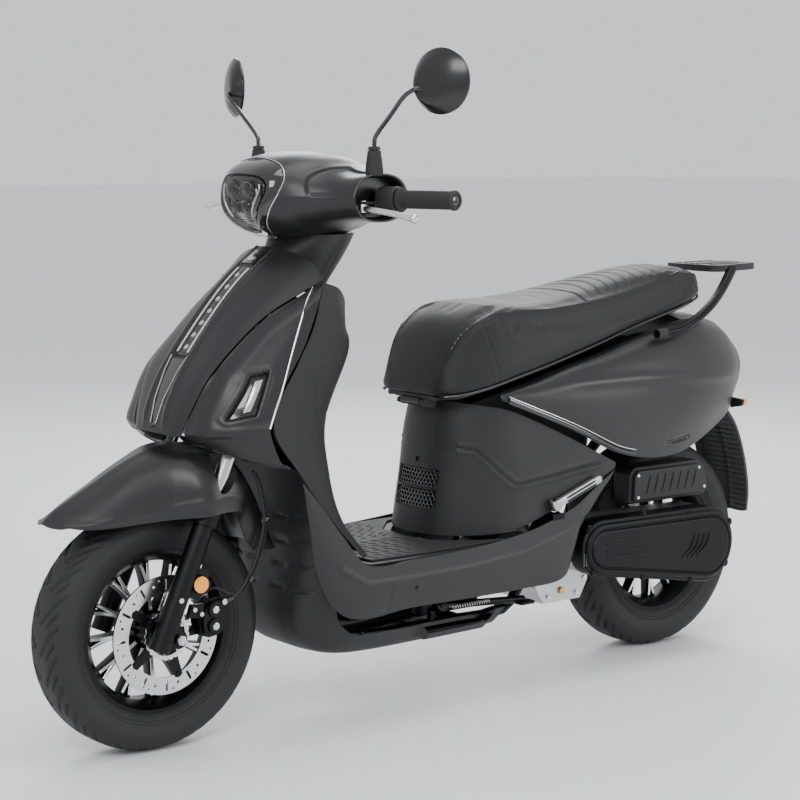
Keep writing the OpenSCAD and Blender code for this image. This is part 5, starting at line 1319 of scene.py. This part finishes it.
for name, body, s in (("left", "left_mirror", -1), ("right", "right_mirror", 1)):
    at = np.array([-0.265, s * 0.340, 1.253])
    turn = turn_about("Z", -18 * s)
    socket_at = np.array([-0.284, s * 0.314, 1.239])
    c0 = turn.T @ (socket_at - at)
    rings = []
    for k, size in zip((-0.2, -0.1, *np.linspace(0, 1, 30)), (0.002, 0.0075, *[None] * 30)):
        u = max(k, 0.0)
        size = size or 0.0100 + (r - 0.0100) * u**0.85
        mid = c0 * (1 - u) ** 1.25
        rings.append(np.column_stack([np.full(96, -0.0168 + 0.0215 * u**1.9 + 0.004 * k * (k < 0)),
                                      mid[1] + size * np.cos(q),
                                      mid[2] + size * np.sin(q)]))
    rings += [np.column_stack([np.full(96, x), a * np.cos(q), a * np.sin(q)]) for a, x in rim]
    back = placed(tube(rings), turn, at)
    glass = placed(turned([(0.0005, 0.0078), (r * 0.935, 0.0078), (r * 0.935, 0.0088), (0.0005, 0.0092)], 96,
                          0), turn, at)
    make(name + "_mirror_back", [back], "mirror_black", body, ["mirror_" + name])
    make(name + "_mirror_glass", [glass], "mirror_glass", body)

# ---------------------------------------------------------------- seat
# One long padded seat: a smooth cover with a sewn piping line along the top of each side, a raised
# wave pattern on the rider's and passenger's places, and a hard black base under it.
MATS["seat_vinyl"] = grained("seat_vinyl", (0.012, 0.012, 0.013), 0.52, 620.0, 0.0005)
SEAT = [
    [-76, 628, 648, 80, 66, 642], [-56, 628, 698, 108, 92, 684], [-14, 632, 764, 126, 108, 746],
    [40, 644, 797, 142, 124, 782], [110, 662, 806, 150, 135, 793], [205, 684, 804, 152, 140, 795],
    [325, 712, 820, 146, 134, 802], [445, 740, 842, 132, 120, 814], [560, 762, 858, 114, 104, 834],
    [650, 778, 862, 96, 88, 850], [716, 790, 852, 68, 60, 844], [748, 798, 832, 36, 30, 828]]
rows = np.array([[s[0], s[1], s[2], s[3], s[4], s[5]] for s in SEAT], float) / 1000
rows[:3, 0] += [0.012, 0.008, 0.004]
rows = spline(rows, np.linspace(0, 1, 150))


def seat_ring(s):
    """One section of the seat: a smooth curve up the side and over the top, closed by a flat floor."""
    x, b, t, l, w, z = s
    side = [(l - 0.010, b + 0.0015), (l, b + 0.012), ((l + w) / 2 + 0.003, (b + z) / 2), (w, z)]
    top = [(0.86 * w, z + 0.38 * (t - z)), (0.6 * w, z + 0.78 * (t - z)), (0.3 * w, z + 0.96 * (t - z)),
           (0, t)]
    half = spline(np.array(side + top), np.linspace(0, 1, 60))
    whole = np.concatenate([half * [-1, 1], half[-2::-1]])
    floor_line = np.linspace((l - 0.012, b), (-l + 0.012, b), 30)
    ring = np.concatenate([whole, floor_line])
    return np.column_stack([np.full(len(ring), x), ring])


rings = np.array([seat_ring(s) for s in rows])
v, f = tube(rings)
mesh = bpy.data.meshes.new("seat_cover")
mesh.from_pydata(v.tolist(), [], [tuple(int(k) for k in x) for x in f])
shape = bmesh.new()
shape.from_mesh(mesh)
bmesh.ops.recalc_face_normals(shape, faces=shape.faces)
shape.to_mesh(mesh)
shape.free()
seat = bpy.data.objects.new("seat_cover", mesh)
bpy.context.scene.collection.objects.link(seat)
mesh.materials.append(MATS["seat_vinyl"])
bpy.context.view_layer.objects.active = seat
remesh = seat.modifiers.new("even", "REMESH")
remesh.mode = "VOXEL"
remesh.voxel_size = 0.006
bpy.ops.object.modifier_apply(modifier="even")
rest = np.zeros(len(seat.data.vertices) * 3)
seat.data.vertices.foreach_get("co", rest)
rest = rest.reshape(-1, 3)
x = rest[:, 0]
base = np.interp(x, rows[:, 0], rows[:, 1])
pin = seat.vertex_groups.new(name="held")
low = 1 - smooth(rest[:, 2] - base, 0.010, 0.022)
for i, k in enumerate(low):
    if k > 0.01:
        pin.add([i], float(k), "REPLACE")
cloth = seat.modifiers.new("cloth", "CLOTH")
c = cloth.settings
c.quality = 6
c.mass = 0.4
c.tension_stiffness = 30
c.compression_stiffness = 30
c.shear_stiffness = 12
c.bending_stiffness = 8
c.use_pressure = True
c.uniform_pressure_force = 4.0
c.vertex_group_mass = "held"
c.effector_weights.gravity = 0.0
cloth.point_cache.frame_start = 1
cloth.point_cache.frame_end = 20
scene = bpy.context.scene
for frame_no in range(1, 21):
    scene.frame_set(frame_no)
bpy.ops.object.modifier_apply(modifier="cloth")
scene.frame_set(1)
now = np.zeros(len(seat.data.vertices) * 3)
seat.data.vertices.foreach_get("co", now)
now = now.reshape(-1, 3)
move = now - rest
size = np.linalg.norm(move, axis=1, keepdims=True)
cap = 0.005
now = rest + move * np.minimum(1, cap / np.maximum(size, 1e-9))
seat.data.vertices.foreach_set("co", now.ravel())
seat.data.update()
even = seat.modifiers.new("even", "REMESH")
even.mode = "VOXEL"
even.voxel_size = 0.003
bpy.context.view_layer.objects.active = seat
bpy.ops.object.modifier_apply(modifier="even")
co = np.zeros(len(seat.data.vertices) * 3)
seat.data.vertices.foreach_get("co", co)
co = co.reshape(-1, 3)
no = np.zeros(len(seat.data.vertices) * 3)
seat.data.vertex_normals.foreach_get("vector", no)
no = no.reshape(-1, 3)
x, y, z = co.T
w = np.interp(x, rows[:, 0], rows[:, 4])
wz = np.interp(x, rows[:, 0], rows[:, 5])
up = smooth(no[:, 2], 0.25, 0.6)
# piping: a rounded bead over the seam, with a groove on each side of it
d = np.hypot(abs(y) - w, z - wz - 0.001)
seam = smooth(x, -0.055, -0.03) * (1 - smooth(x, 0.725, 0.745))
lift = (0.0022 * np.exp(-(d / 0.0022) ** 2) - 0.0020 * np.exp(-((d - 0.0062) / 0.0026) ** 2)) * seam
# waves across the passenger's place and, fainter, the rider's
u = x + 0.55 * abs(y) ** 1.3
field = smooth(x, 0.33, 0.36) * (1 - smooth(x, 0.70, 0.73)) * (1 - smooth(abs(y) - w, -0.030, -0.016)) * up
lift += -0.0028 * np.exp(-((((u / 0.030) % 1.0) - 0.5) / 0.14) ** 2) * field
field = smooth(x, 0.06, 0.09) * (1 - smooth(x, 0.285, 0.31)) * (1 - smooth(abs(y), 0.055, 0.075)) * up
lift += -0.0012 * np.exp(-((((u / 0.030) % 1.0) - 0.5) / 0.12) ** 2) * field
# the join between the two places and the panel seam near the seat's nose
lift += -0.0030 * np.exp(-((x - 0.325 + 0.35 * y * y) / 0.004) ** 2) * up
side_seam = np.exp(-((x - 0.030 - 0.22 * (wz - z)) / 0.0016) ** 2) * (1 - up)
lift += -0.0012 * side_seam
co = co + no * lift[:, None]
seat.data.vertices.foreach_set("co", co.ravel())
seat.data.polygons.foreach_set("use_smooth", np.ones(len(seat.data.polygons), bool))
seat.data.update()
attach(seat, "seat")
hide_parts("seat_cushion")

# ---------------------------------------------------------------- seat trim and base
# Stitches beside the piping, a gloss rail round the lower edge of the cover, and the moulded base.
stitches = []
for s in (-1, 1):
    for k in range(118):
        xx = -0.03 + 0.0062 * k
        i = np.interp([xx, xx + 0.0035], rows[:, 0], rows[:, 4]), np.interp([xx, xx + 0.0035], rows[:, 0],
                                                                            rows[:, 5])
        a = np.array([[xx, s * (i[0][0] - 0.0070), i[1][0] + 0.0065],
                      [xx + 0.0035, s * (i[0][1] - 0.0070), i[1][1] + 0.0065]])
        stitches.append(sweep(a, oval(0.0005, 0.0005, 6)))
make("seat_stitches", stitches, "gloss_black", "seat")
edge = rows[6:144]
lower = np.column_stack([edge[:, 0], -(edge[:, 3] - 0.0035), edge[:, 1] + 0.001])
bead = sweep(lower, oval(0.0035, 0.0032, 10))
make("seat_edge_rails", [bead, mirrored(bead)], "gloss_black", "seat")
panel = []
for s in rows[8:140]:
    l = s[3] - 0.018
    q = oval(l, 0.0042, 48, 0.35)
    rib = 0.0012 * np.cos(q[:, 0] * 2 * math.pi / 0.03) * (q[:, 1] < 0)
    panel.append(np.column_stack([np.full(48, s[0]), q[:, 0], s[1] - 0.0052 + q[:, 1] + rib]))
parts = [tube(panel)]
hinge = turned([(0.0042, -0.030), (0.0068, -0.030), (0.0068, 0.030), (0.0042, 0.030)], 32, 1,
               (-0.058, 0, 0.614))
make("seat_base_panel", parts + [hinge], "trim_black", "seat", ["seat_base"])

# ---------------------------------------------------------------- rack and grab rails
# A moulded black rack plate with cast ribs and four bolt holes, on two round rails that run
# forward beside the seat and end in rubber feet.
holes = [ring_points(0.0035, 20, (0.855 + dx, dy)) for dx in (-0.070, 0) for dy in (-0.035, 0.035)]
RACK = [[757, -60], [762, -72], [774, -80], [800, -81.5], [850, -73], [905, -61], [919, -53], [924.5, -42],
        [924.5, 42],
        [919, 53], [905, 61], [850, 73], [800, 81.5], [774, 80], [762, 72], [757, 60]]
deck = plate([np.array(RACK) / 1000] + holes, 0.8475, 0.8625, 2)
make("rack_plate", [deck], "trim_black", "body", ["grab_rail"], bevel=0.0030)
ribs = []
for y in (-52, -18, 0, 18, 52):
    x0, x1 = (768, 900) if abs(y) < 50 else (776, 884)
    ribs.append(sweep(along([[x0, y, 862.6], [(x0 + x1) / 2, y * 0.97, 863.0], [x1, y * 0.9, 862.6]],
                            16) / 1000,
                      oval(0.0045, 0.0020, 14, 0.8)))
make("rack_ribs", ribs, "gloss_black", "body")
RAIL = [[500, 153, 728], [560, 158, 734], [620, 155, 754], [680, 141, 780], [735, 118, 806],
    [785, 94, 834], [815, 78, 852]]
path = spline(np.array(RAIL, float) / 1000, np.linspace(0, 1, 90))
rail = sweep(path, oval(0.0115, 0.0105, 32, 0.9), scale=np.concatenate([np.full(6, 0.8), np.linspace(0.84, 1, 84)]))
make("grab_rails", [rail, mirrored(rail)], "frame_black", "body")
pad = sweep(path[:7], oval(0.0118, 0.0108, 28, 0.8))
make("rail_feet", [pad, mirrored(pad)], "mat_rubber", "body")

# ---------------------------------------------------------------- rear lamps
# An oval red tail lamp with a gloss black ring and four light blocks behind it, and an amber signal
# on each side in a black holder.
MATS["red_lens"] = clear("red_lens", (0.62, 0.012, 0.012), 0.08, 0.85)
q = np.linspace(0, 2 * math.pi, 64, endpoint=False)


def lamp_ring(x, k):
    """One oval section of the tail lamp at x, scaled by k."""
    return np.column_stack([np.full(64, x), 0.0455 * k * np.cos(q), 0.622 + 0.0515 * k * np.sin(q)])


red = tube([lamp_ring(x, k) for x, k in ((0.862, 0.95), (0.872, 0.92), (0.882, 0.78), (0.889, 0.55),
                                         (0.8935, 0.25), (0.8945, 0.04))])
make("tail_lamp_lens", [red], "red_lens", "body", ["rear_lamps"])
bezel = tube([lamp_ring(x, k) for x, k in ((0.848, 0.995), (0.866, 0.99), (0.868, 0.96), (0.862, 0.94),
                                           (0.852, 0.93))])
make("tail_lamp_bezel", [bezel], "gloss_black", "body")
blocks = [placed(slab(-0.015, 0.015, y - 0.014, y + 0.014, 0, 0.006, 0.002), turn_about("Y", 90),
                 (0.8625, 0, z))
          for y in (-0.017, 0.017) for z in (0.606, 0.640)]
make("tail_lamp_blocks", blocks, "lamp_white", "body")
SIGNALS = [[62, 532], [96, 539], [99, 552], [66, 553]]
amber = plate([np.array(SIGNALS) / 1000], 0.8400, 0.8570, 0)
holder = plate([np.array([[60, 530], [96, 537.5], [100, 552.5], [64, 555]]) / 1000], 0.8382, 0.8460, 0)
make("rear_signal_lenses", [amber, mirrored(amber)], "amber_lens", "body", bevel=0.003)
make("rear_signal_holders", [holder, mirrored(holder)], "trim_black", "body", bevel=0.002)

# ---------------------------------------------------------------- floorboard and mat
# The flat tread of the step-through, with a rubber mat whose raised bars run in slanted rows.
BOARD = [[-309, 0], [-309, 150], [-303, 180], [-200, 185], [-50, 185], [100, 180], [112, 168], [66, 152],
         [-6, 124], [-60, 68],
         [-70, 0]]
MAT = [[-293, 0], [-293, 150], [-289, 165], [-200, 169], [-50, 169], [58, 167], [-14, 138], [-74, 76],
       [-86, 0]]


def whole_outline(half):
    """A half outline, joined to its mirror image."""
    p = np.array(half, float) / 1000
    return np.concatenate([p, p[-2:0:-1] * [1, -1]])


make("floorboard_tread", [plate([whole_outline(BOARD)], 0.3262, 0.3300, 2)], "trim_black", "body",
     ["floorboard"],
     bevel=0.0010)
make("floor_mat_sheet", [plate([whole_outline(MAT)], 0.3302, 0.3348, 2)], "mat_rubber", "body",
     ["floor_mat"], bevel=0.0014)
bars = []
for col in range(8):
    y = 0.018 + 0.0195 * col
    for row in range(8):
        x = -0.277 + 0.027 * row + 0.006 * (col % 2)
        if x > -0.108 - 0.001 + 0.9 * max(0.0, y - 0.07) * 0.9:
            continue
        c = math.cos(math.radians(32))
        s = math.sin(math.radians(32))
        a = np.array([[x - 0.0085 * c, y - 0.0085 * s, 0.3346], [x + 0.0085 * c, y + 0.0085 * s, 0.3346]])
        a = np.array([a[0], a.mean(0), a[1]])
        bar_part = sweep(a, oval(0.0034, 0.0018, 12, 0.7), scale=[0.7, 1, 0.7])
        bars += [bar_part, mirrored(bar_part)]
make("floor_mat_bars", bars, "mat_rubber", "body")

# ---------------------------------------------------------------- belt drive cover
# The black cover over the belt, with two raised steps, a ribbed wedge, a vent and a bolted rim.


def oblong(a, ra, b, rb, y, n=40):
    """Outline of two circles joined by tangents, at that distance along Y."""
    a, b = np.array(a, float), np.array(b, float)
    h = math.atan2(b[1] - a[1], b[0] - a[0])
    turn = math.acos((ra - rb) / np.linalg.norm(b - a))
    t = h + turn + np.linspace(0, 2 * math.pi - 2 * turn, n)
    u = h - turn + np.linspace(0, 2 * turn, n)
    p = np.concatenate([a + ra * np.column_stack([np.cos(t), np.sin(t)]),
                        b + rb * np.column_stack([np.cos(u), np.sin(u)])])
    return np.column_stack([p[:, 0], np.full(2 * n, y), p[:, 1]]) / 1000


CRANK, CLUTCH = (331, 280), (650, 250)
steps = [(0, -130.3), (0, -166), (0.6, -169.5), (2.2, -171.6), (5, -172.2), (8.2, -172.4), (8.8, -175),
         (9.8, -178), (12, -179.6),
         (15, -180), (18, -180), (19, -179.2), (20, -177.6), (22, -177.6), (23, -179.4), (24.5, -181.6), (27, -182.3), (30, -182.4)]
rings = [oblong(CRANK, 62 - i, CLUTCH, 85 - i, y) for i, y in steps]
for k in (0.8, 0.6, 0.4, 0.2, 0.05):
    last = oblong(CRANK, 32, CLUTCH, 55, -182.4)
    mid = np.array([0.49, -0.1824, 0.265])
    rings.append(mid + (last - mid) * [k, 1, k])
make("belt_cover", [tube(rings)], "black_alloy", "engine", ["cvt_cover"])
wedge = []
for k in range(4):
    a = np.array([[560 + 16 * k, -182.2, 232], [588 + 16 * k, -183.0, 252],
                  [600 + 16 * k, -182.2, 278]]) / 1000
    wedge.append(sweep(spline(a, np.linspace(0, 1, 14)), oval(0.0024, 0.0016, 10)))
for k in range(3):
    a = np.array([[330, -182.2, 262 + 14 * k], [400, -183.0, 258 + 14 * k],
                  [470, -182.2, 254 + 14 * k]]) / 1000
    wedge.append(sweep(spline(a, np.linspace(0, 1, 20)), oval(0.0016, 0.0024, 10)))
make("belt_cover_ribs", wedge, "black_alloy", "engine")
bolts = []
for x, z in ((290, 326), (450, 344), (590, 326), (722, 292), (712, 200), (600, 176), (450, 204), (300, 232)):
    out_dir = np.array([x - 490, z - 265], float)
    bolts.append(disc_part((x / 1000, -0.1715, z / 1000), (0, -1, 0), 0.0062, 0.0030, 6))
    bolts.append(disc_part((x / 1000, -0.1700, z / 1000), (0, -1, 0), 0.0092, 0.0020, 24))
make("belt_cover_bolts", bolts, "frame_black", "engine")
vent = [placed(slab(-0.0018, 0.0018, -0.014, 0.014, 0, 0.002, 0.0008), turn_about("X", 90),
               (0.272 + 0.007 * k, -0.1722, 0.262))
        for k in range(3)]
make("belt_cover_vents", vent, "gloss_black", "engine")

# ---------------------------------------------------------------- air box
# Black air filter box over the cover, with a ribbed lid and clamp screws.
BOX = [[453, 353], [689, 351], [703, 370], [689, 419], [667, 433], [471, 435], [457, 421]]
LID = [[462, 361], [684, 359], [694, 372], [681, 413], [662, 425], [475, 427], [465, 416]]
body = plate([np.array(BOX) / 1000], -0.1220, -0.0700)
lid = plate([np.array(LID) / 1000], -0.1305, -0.1180)
make("air_box", [body], "trim_black", "engine", ["airbox"], bevel=0.0050)
make("air_box_lid", [lid], "trim_black", "engine", bevel=0.0028)
ribs = []
for k in range(7):
    x = 0.500 + 0.024 * k
    ribs.append(sweep(np.array([[x, -0.1305, 0.374], [x + 0.006, -0.1312, 0.394],
                                [x + 0.012, -0.1305, 0.414]]),
                      oval(0.0020, 0.0015, 10)))
make("air_box_ribs", ribs, "trim_black", "engine")
screws = [disc_part((x / 1000, -0.1302, z / 1000), (0, -1, 0), 0.0038, 0.0016, 20) for x,
          z in ((474, 368), (474, 417),
          (682, 372), (664, 417))]
make("air_box_screws", screws, "bright_steel", "engine")

# ---------------------------------------------------------------- engine details
# Cast case with a brass drain plug, cooling duct, a cable and cover bolts on both sides.
MATS["brass"] = metal("brass", (0.55, 0.38, 0.16), 0.3, 600.0, 0.00005)
for node in ("engine_case", "main_frame", "storage_bucket", "fuel_tank", "battery", "steering_stem"):
    round_edges(NODES[node], 0.0012)
plug = [disc_part((0.300, y, z), (0, s, 0), 0.0085, 0.006, 6) for y, z,
        s in ((-0.072, 0.176, -1), (0.072, 0.186, 1))]
make("drain_plugs", plug, "brass", "engine")
bolts = [disc_part((x / 1000, s * 0.072, z / 1000), (0, s, 0), 0.0052, 0.0040, 6) for s in (-1, 1)
         for x, z in ((242, 200), (262, 166), (345, 166), (368, 196), (270, 308), (240, 282))]
make("crankcase_bolts", bolts, "bright_steel", "engine")
duct = plate([np.array([[118, 292], [222, 292], [226, 306], [200, 316], [140, 314], [116, 304]]) / 1000],
             -0.048, 0.048)
make("cooling_duct", [duct], "trim_black", "engine", bevel=0.004)
cable = sweep(spline(np.array([[232, -66, 300], [214, -84, 330], [190, -96, 352], [150, -100, 372]]) / 1000,
                     np.linspace(0, 1, 40)), oval(0.0035, 0.0035, 12))
make("engine_lead", [cable], "mat_rubber", "engine")

# ---------------------------------------------------------------- exhaust
# Black header pipe and silencer on the right, with a slotted heat shield and a short tail pipe.
MATS["satin_black"] = metal("satin_black", (0.03, 0.03, 0.032), 0.3, 700.0, 0.00008)
PIPE = [[90, 12, 203.6], [90, 12, 198], [90, 13, 190], [104, 30, 172], [150, 70, 163], [250, 100, 160],
        [340, 108, 166],
        [452, 138, 190]]
header = sweep(spline(np.array(PIPE) / 1000, np.linspace(0, 1, 110)), oval(0.0138, 0.0138, 28))
lean = math.degrees(math.atan2(74, 308))
can = turned([(0.0005, 0.000), (0.024, 0.000), (0.036, 0.006), (0.0440, 0.020), (0.0452, 0.030),
              (0.0460, 0.034), (0.0460, 0.042),
              (0.0450, 0.046), (0.0450, 0.270), (0.0460, 0.274), (0.0460, 0.282), (0.0448, 0.288), (0.0400, 0.302),
              (0.030, 0.312), (0.0150, 0.3165), (0.0140, 0.336), (0.0110, 0.336), (0.0105, 0.318), (0.0005, 0.316)], 96, 0)
can = placed(can, turn_about("Y", -lean), (0.444, 0.142, 0.188))
make("exhaust_system", [header, can], "frame_black", "engine", ["exhaust"])
rows = []
for t in np.linspace(-0.95, 0.95, 60):
    x = 0.052 + 0.105 * (1 + t)
    rows.append([[x, 0.0468 * math.cos(a), 0.0468 * math.sin(a)] for a in np.linspace(-0.75, 1.15, 40)])
slots = shell(np.array(rows), 0.0012, lambda g: -0.0010 * (np.sin(g[..., 0] * 2 * math.pi / 0.021) > 0.6)
              * (abs(g[..., 2] - 0.010) < 0.020), flip=False)
make("heat_shield", [placed(slots, turn_about("Y", -lean), (0.444, 0.142, 0.188))], "satin_black", "engine")

# ---------------------------------------------------------------- rear shock
# Spring and damper on the right, between the frame and the engine's arm.
MATS["cast_alloy"] = metal("cast_alloy", (0.52, 0.52, 0.53), 0.38, 800.0, 0.00025)
top = np.array([0.640, 0.098, 0.640])
turn = turn_about("Y", 180 - math.degrees(math.atan2(60, 305)))
reach = math.hypot(0.060, 0.305)
q = np.linspace(0, 1, 560)
a = q * 2 * math.pi * 7
coil = np.column_stack([0.023 * np.cos(a), 0.023 * np.sin(a), 0.0365 + (reach - 0.064 - 0.037) * q])
make("shock_coil", [placed(sweep(coil, oval(0.0029, 0.0029, 12)), turn, top)], "bright_steel", "shock_body",
     ["shock_spring"])
eye = turned([(0.0062, -0.0108), (0.0128, -0.0108), (0.0132, -0.0095), (0.0132, 0.0095), (0.0128, 0.0108),
              (0.0062, 0.0108)], 48, 1)
upper = turned([(0.0005, 0.009), (0.0115, 0.009), (0.0120, 0.026), (0.0275, 0.0265), (0.0282, 0.029),
                (0.0275, 0.0318),
                (0.0062, 0.0320), (0.0058, reach - 0.082), (0.0005, reach - 0.081)], 56, 2)
make("shock_top_half", [placed(p, turn, top) for p in (eye, upper)], "frame_black", "shock_body",
     ["shock_upper"])
eye = turned([(0.0087, -0.0108), (0.0138, -0.0108), (0.0142, -0.0095), (0.0142, 0.0095), (0.0138, 0.0108),
              (0.0087, 0.0108)], 48, 1,
             (0, 0, reach))
lower = turned([(0.0064, 0.131), (0.0158, 0.131), (0.0162, 0.134), (0.0162, reach - 0.061),
                (0.0275, reach - 0.0600),
                (0.0282, reach - 0.0575), (0.0275, reach - 0.0545), (0.0150, reach - 0.053), (0.0140, reach - 0.014),
                (0.0064, reach - 0.016)], 56, 2)
make("shock_bottom_half", [placed(p, turn, top) for p in (eye, lower)], "cast_alloy", "shock_rod",
     ["shock_lower"])

# ---------------------------------------------------------------- foot pegs
# Folding cast pegs with a hinge boss, a grooved face and a rounded tip.
tilt = turn_about("Y", -19)
sections = []
for x, k in ((0.004, 0.94), (0.010, 1.0), (0.118, 1.0), (0.128, 0.98), (0.1325, 0.84), (0.1352, 0.55),
             (0.1358, 0.2)):
    q = oval(0.0080 * k, 0.0088 * k, 56, 0.55)
    sections.append(np.column_stack([np.full(56, x), q[:, 0], q[:, 1]]))
arm = tube(sections)
boss = turned([(0.0042, -0.0108), (0.0104, -0.0108), (0.0108, -0.0098), (0.0108, 0.0098), (0.0104, 0.0108),
               (0.0042, 0.0108)], 48, 2)
grooves = [placed(slab(-0.044, 0.044, -0.0021, 0.0021, 0, 0.0012, 0.0004), turn_about("X", 90),
                  (0.070, -0.0075, z))
           for z in (-0.0038, 0.0038)]
for name, body, node, flip in (("left", "left_peg", "peg_left", False),
                               ("right", "right_peg", "peg_right", True)):
    parts = [placed(p, tilt, (0.185, -0.178, 0.392)) for p in (arm, boss)]
    lines = [placed(p, tilt, (0.185, -0.178, 0.392)) for p in grooves]
    if flip:
        parts, lines = [mirrored(p) for p in parts], [mirrored(p) for p in lines]
    make(name + "_peg", parts, "cast_alloy", body, [node])
    make(name + "_peg_grips", lines, "mat_rubber", body)

# ---------------------------------------------------------------- side stand
# Black tube leg with a welded foot, a pivot knuckle and its coil spring, folded under the left side.
at = np.array([-0.096, -0.140, 0.211])
leg = sweep(at + np.array([[0.006, 0, 0], [0.05, -0.001, -0.0036], [0.14, -0.0025, -0.010],
                           [0.222, -0.004, -0.016]]),
            oval(0.0088, 0.0080, 28), scale=[1, 1, 0.95, 0.9])
knuckle = turned([(0.0062, -0.0088), (0.0134, -0.0088), (0.0138, -0.0075), (0.0138, 0.0075),
                  (0.0134, 0.0088), (0.0062, 0.0088)],
                 48, 1)
knuckle = placed(knuckle, turn_about("X", -25), at)
pad = placed(slab(-0.020, 0.020, -0.0145, 0.0145, 0, 0.0058, 0.0015), np.eye(3), at + [0.219, -0.011, -0.024])
make("side_stand_leg", [leg, knuckle, pad], "frame_black", "stand", ["side_stand"])
a = np.linspace(0, 2 * math.pi * 16, 400)
coil = np.column_stack([np.linspace(0.018, 0.120, 400), 0.0042 * np.cos(a), 0.0042 * np.sin(a)]) + at + [0, -0.013, -0.004]
make("side_stand_spring", [sweep(coil, oval(0.0009, 0.0009, 8))], "bright_steel", "stand")

# ---------------------------------------------------------------- lock, bolts and small parts
# Ignition lock with its key, the panel bolts and the fuel cap.
at = np.array([-0.330, 0.085, 0.790])
barrel = turned([(0.0005, -0.038), (0.0108, -0.038), (0.0108, 0.006), (0.0100, 0.0078), (0.0080, 0.0080),
                 (0.0078, 0.0112),
                 (0.0070, 0.0120), (0.0005, 0.0120)], 48, 0)
key = placed(slab(-0.0088, 0.0088, -0.0013, 0.0013, 0, 0.0208, 0.0006), turn_about("Z", 90) @ np.eye(3),
             (0, 0, 0))
key = placed(key, turn_about("Y", 90), (0.0118, 0, 0))
make("lock_barrel", [placed(barrel, np.eye(3), at)], "bright_steel", "lock", ["ignition_lock"])
make("lock_key", [placed(key, np.eye(3), at)], "gloss_black", "lock")
bolts = []
for s in (-1, 1):
    bolts.append(disc_part((-0.196, s * 0.1865, 0.272), (0, s, 0), 0.0050, 0.0042, 24, 0.0012))
    bolts.append(disc_part((-0.300, s * 0.1450, 0.186), (0, s, 0), 0.0050, 0.0042, 24, 0.0012))
make("panel_bolts", bolts, "frame_black", "body", ["body_bolts"])
cap = turned([(0.0005, 0.300), (0.0225, 0.300), (0.0225, 0.316), (0.0205, 0.3195), (0.0005, 0.3200)], 60, 2,
             (-0.060, 0.060, 0),
             wobble=lambda q, y, r: np.where(r > 0.022, -0.0006 * (np.sin(q * 20) > 0), 0.0))
make("fuel_cap", [cap], "trim_black", "body")

# ---------------------------------------------------------------- studio
# A pale floor, a pale backdrop and four soft lamps.


def quad(name, corners, mat):
    """One flat four-cornered face."""
    mesh = bpy.data.meshes.new(name)
    mesh.from_pydata([Vector(c) for c in corners], [], [tuple(range(len(corners)))])
    obj = bpy.data.objects.new(name, mesh)
    mesh.materials.append(mat)
    bpy.context.scene.collection.objects.link(obj)
    return obj


floor_mat = Material("studio_floor", (0.86, 0.86, 0.87), 0.55).data
quad("floor", [(-40, -40, 0), (40, -40, 0), (40, 40, 0), (-40, 40, 0)], floor_mat)
world = bpy.data.worlds.new("studio")
world.use_nodes = True
world.node_tree.nodes["Background"].inputs[0].default_value = (0.93, 0.94, 0.96, 1.0)
world.node_tree.nodes["Background"].inputs[1].default_value = 1.0
bpy.context.scene.world = world


def soft_lamp(name, place, target, size, watts):
    """A rectangular lamp at a place, turned to face a target."""
    data = bpy.data.lights.new(name, "AREA")
    data.shape = "RECTANGLE"
    data.size, data.size_y = size
    data.energy = watts
    obj = bpy.data.objects.new(name, data)
    obj.location = place
    obj.rotation_euler = (Vector(target) - Vector(place)).to_track_quat("-Z", "Y").to_euler()
    bpy.context.scene.collection.objects.link(obj)


soft_lamp("key", (-3.6, -2.6, 3.6), (0, 0, 0.6), (2.4, 1.6), 120)
soft_lamp("top", (0.4, -0.6, 3.8), (0, 0, 0.5), (3.2, 1.6), 60)
soft_lamp("side", (2.8, -3.6, 1.6), (0.2, 0, 0.5), (1.8, 1.4), 60)
soft_lamp("rear", (2.6, 3.0, 2.8), (0, 0, 0.5), (2.4, 1.6), 90)

# The CAD nodes carry the same finishes, by the slots of the record.
for entry in frame["record"]["subparts"]:
    obj = NODES[entry["node"]]
    obj.data.materials.clear()
    obj.data.materials.append(MATS[entry["material_slot"]])
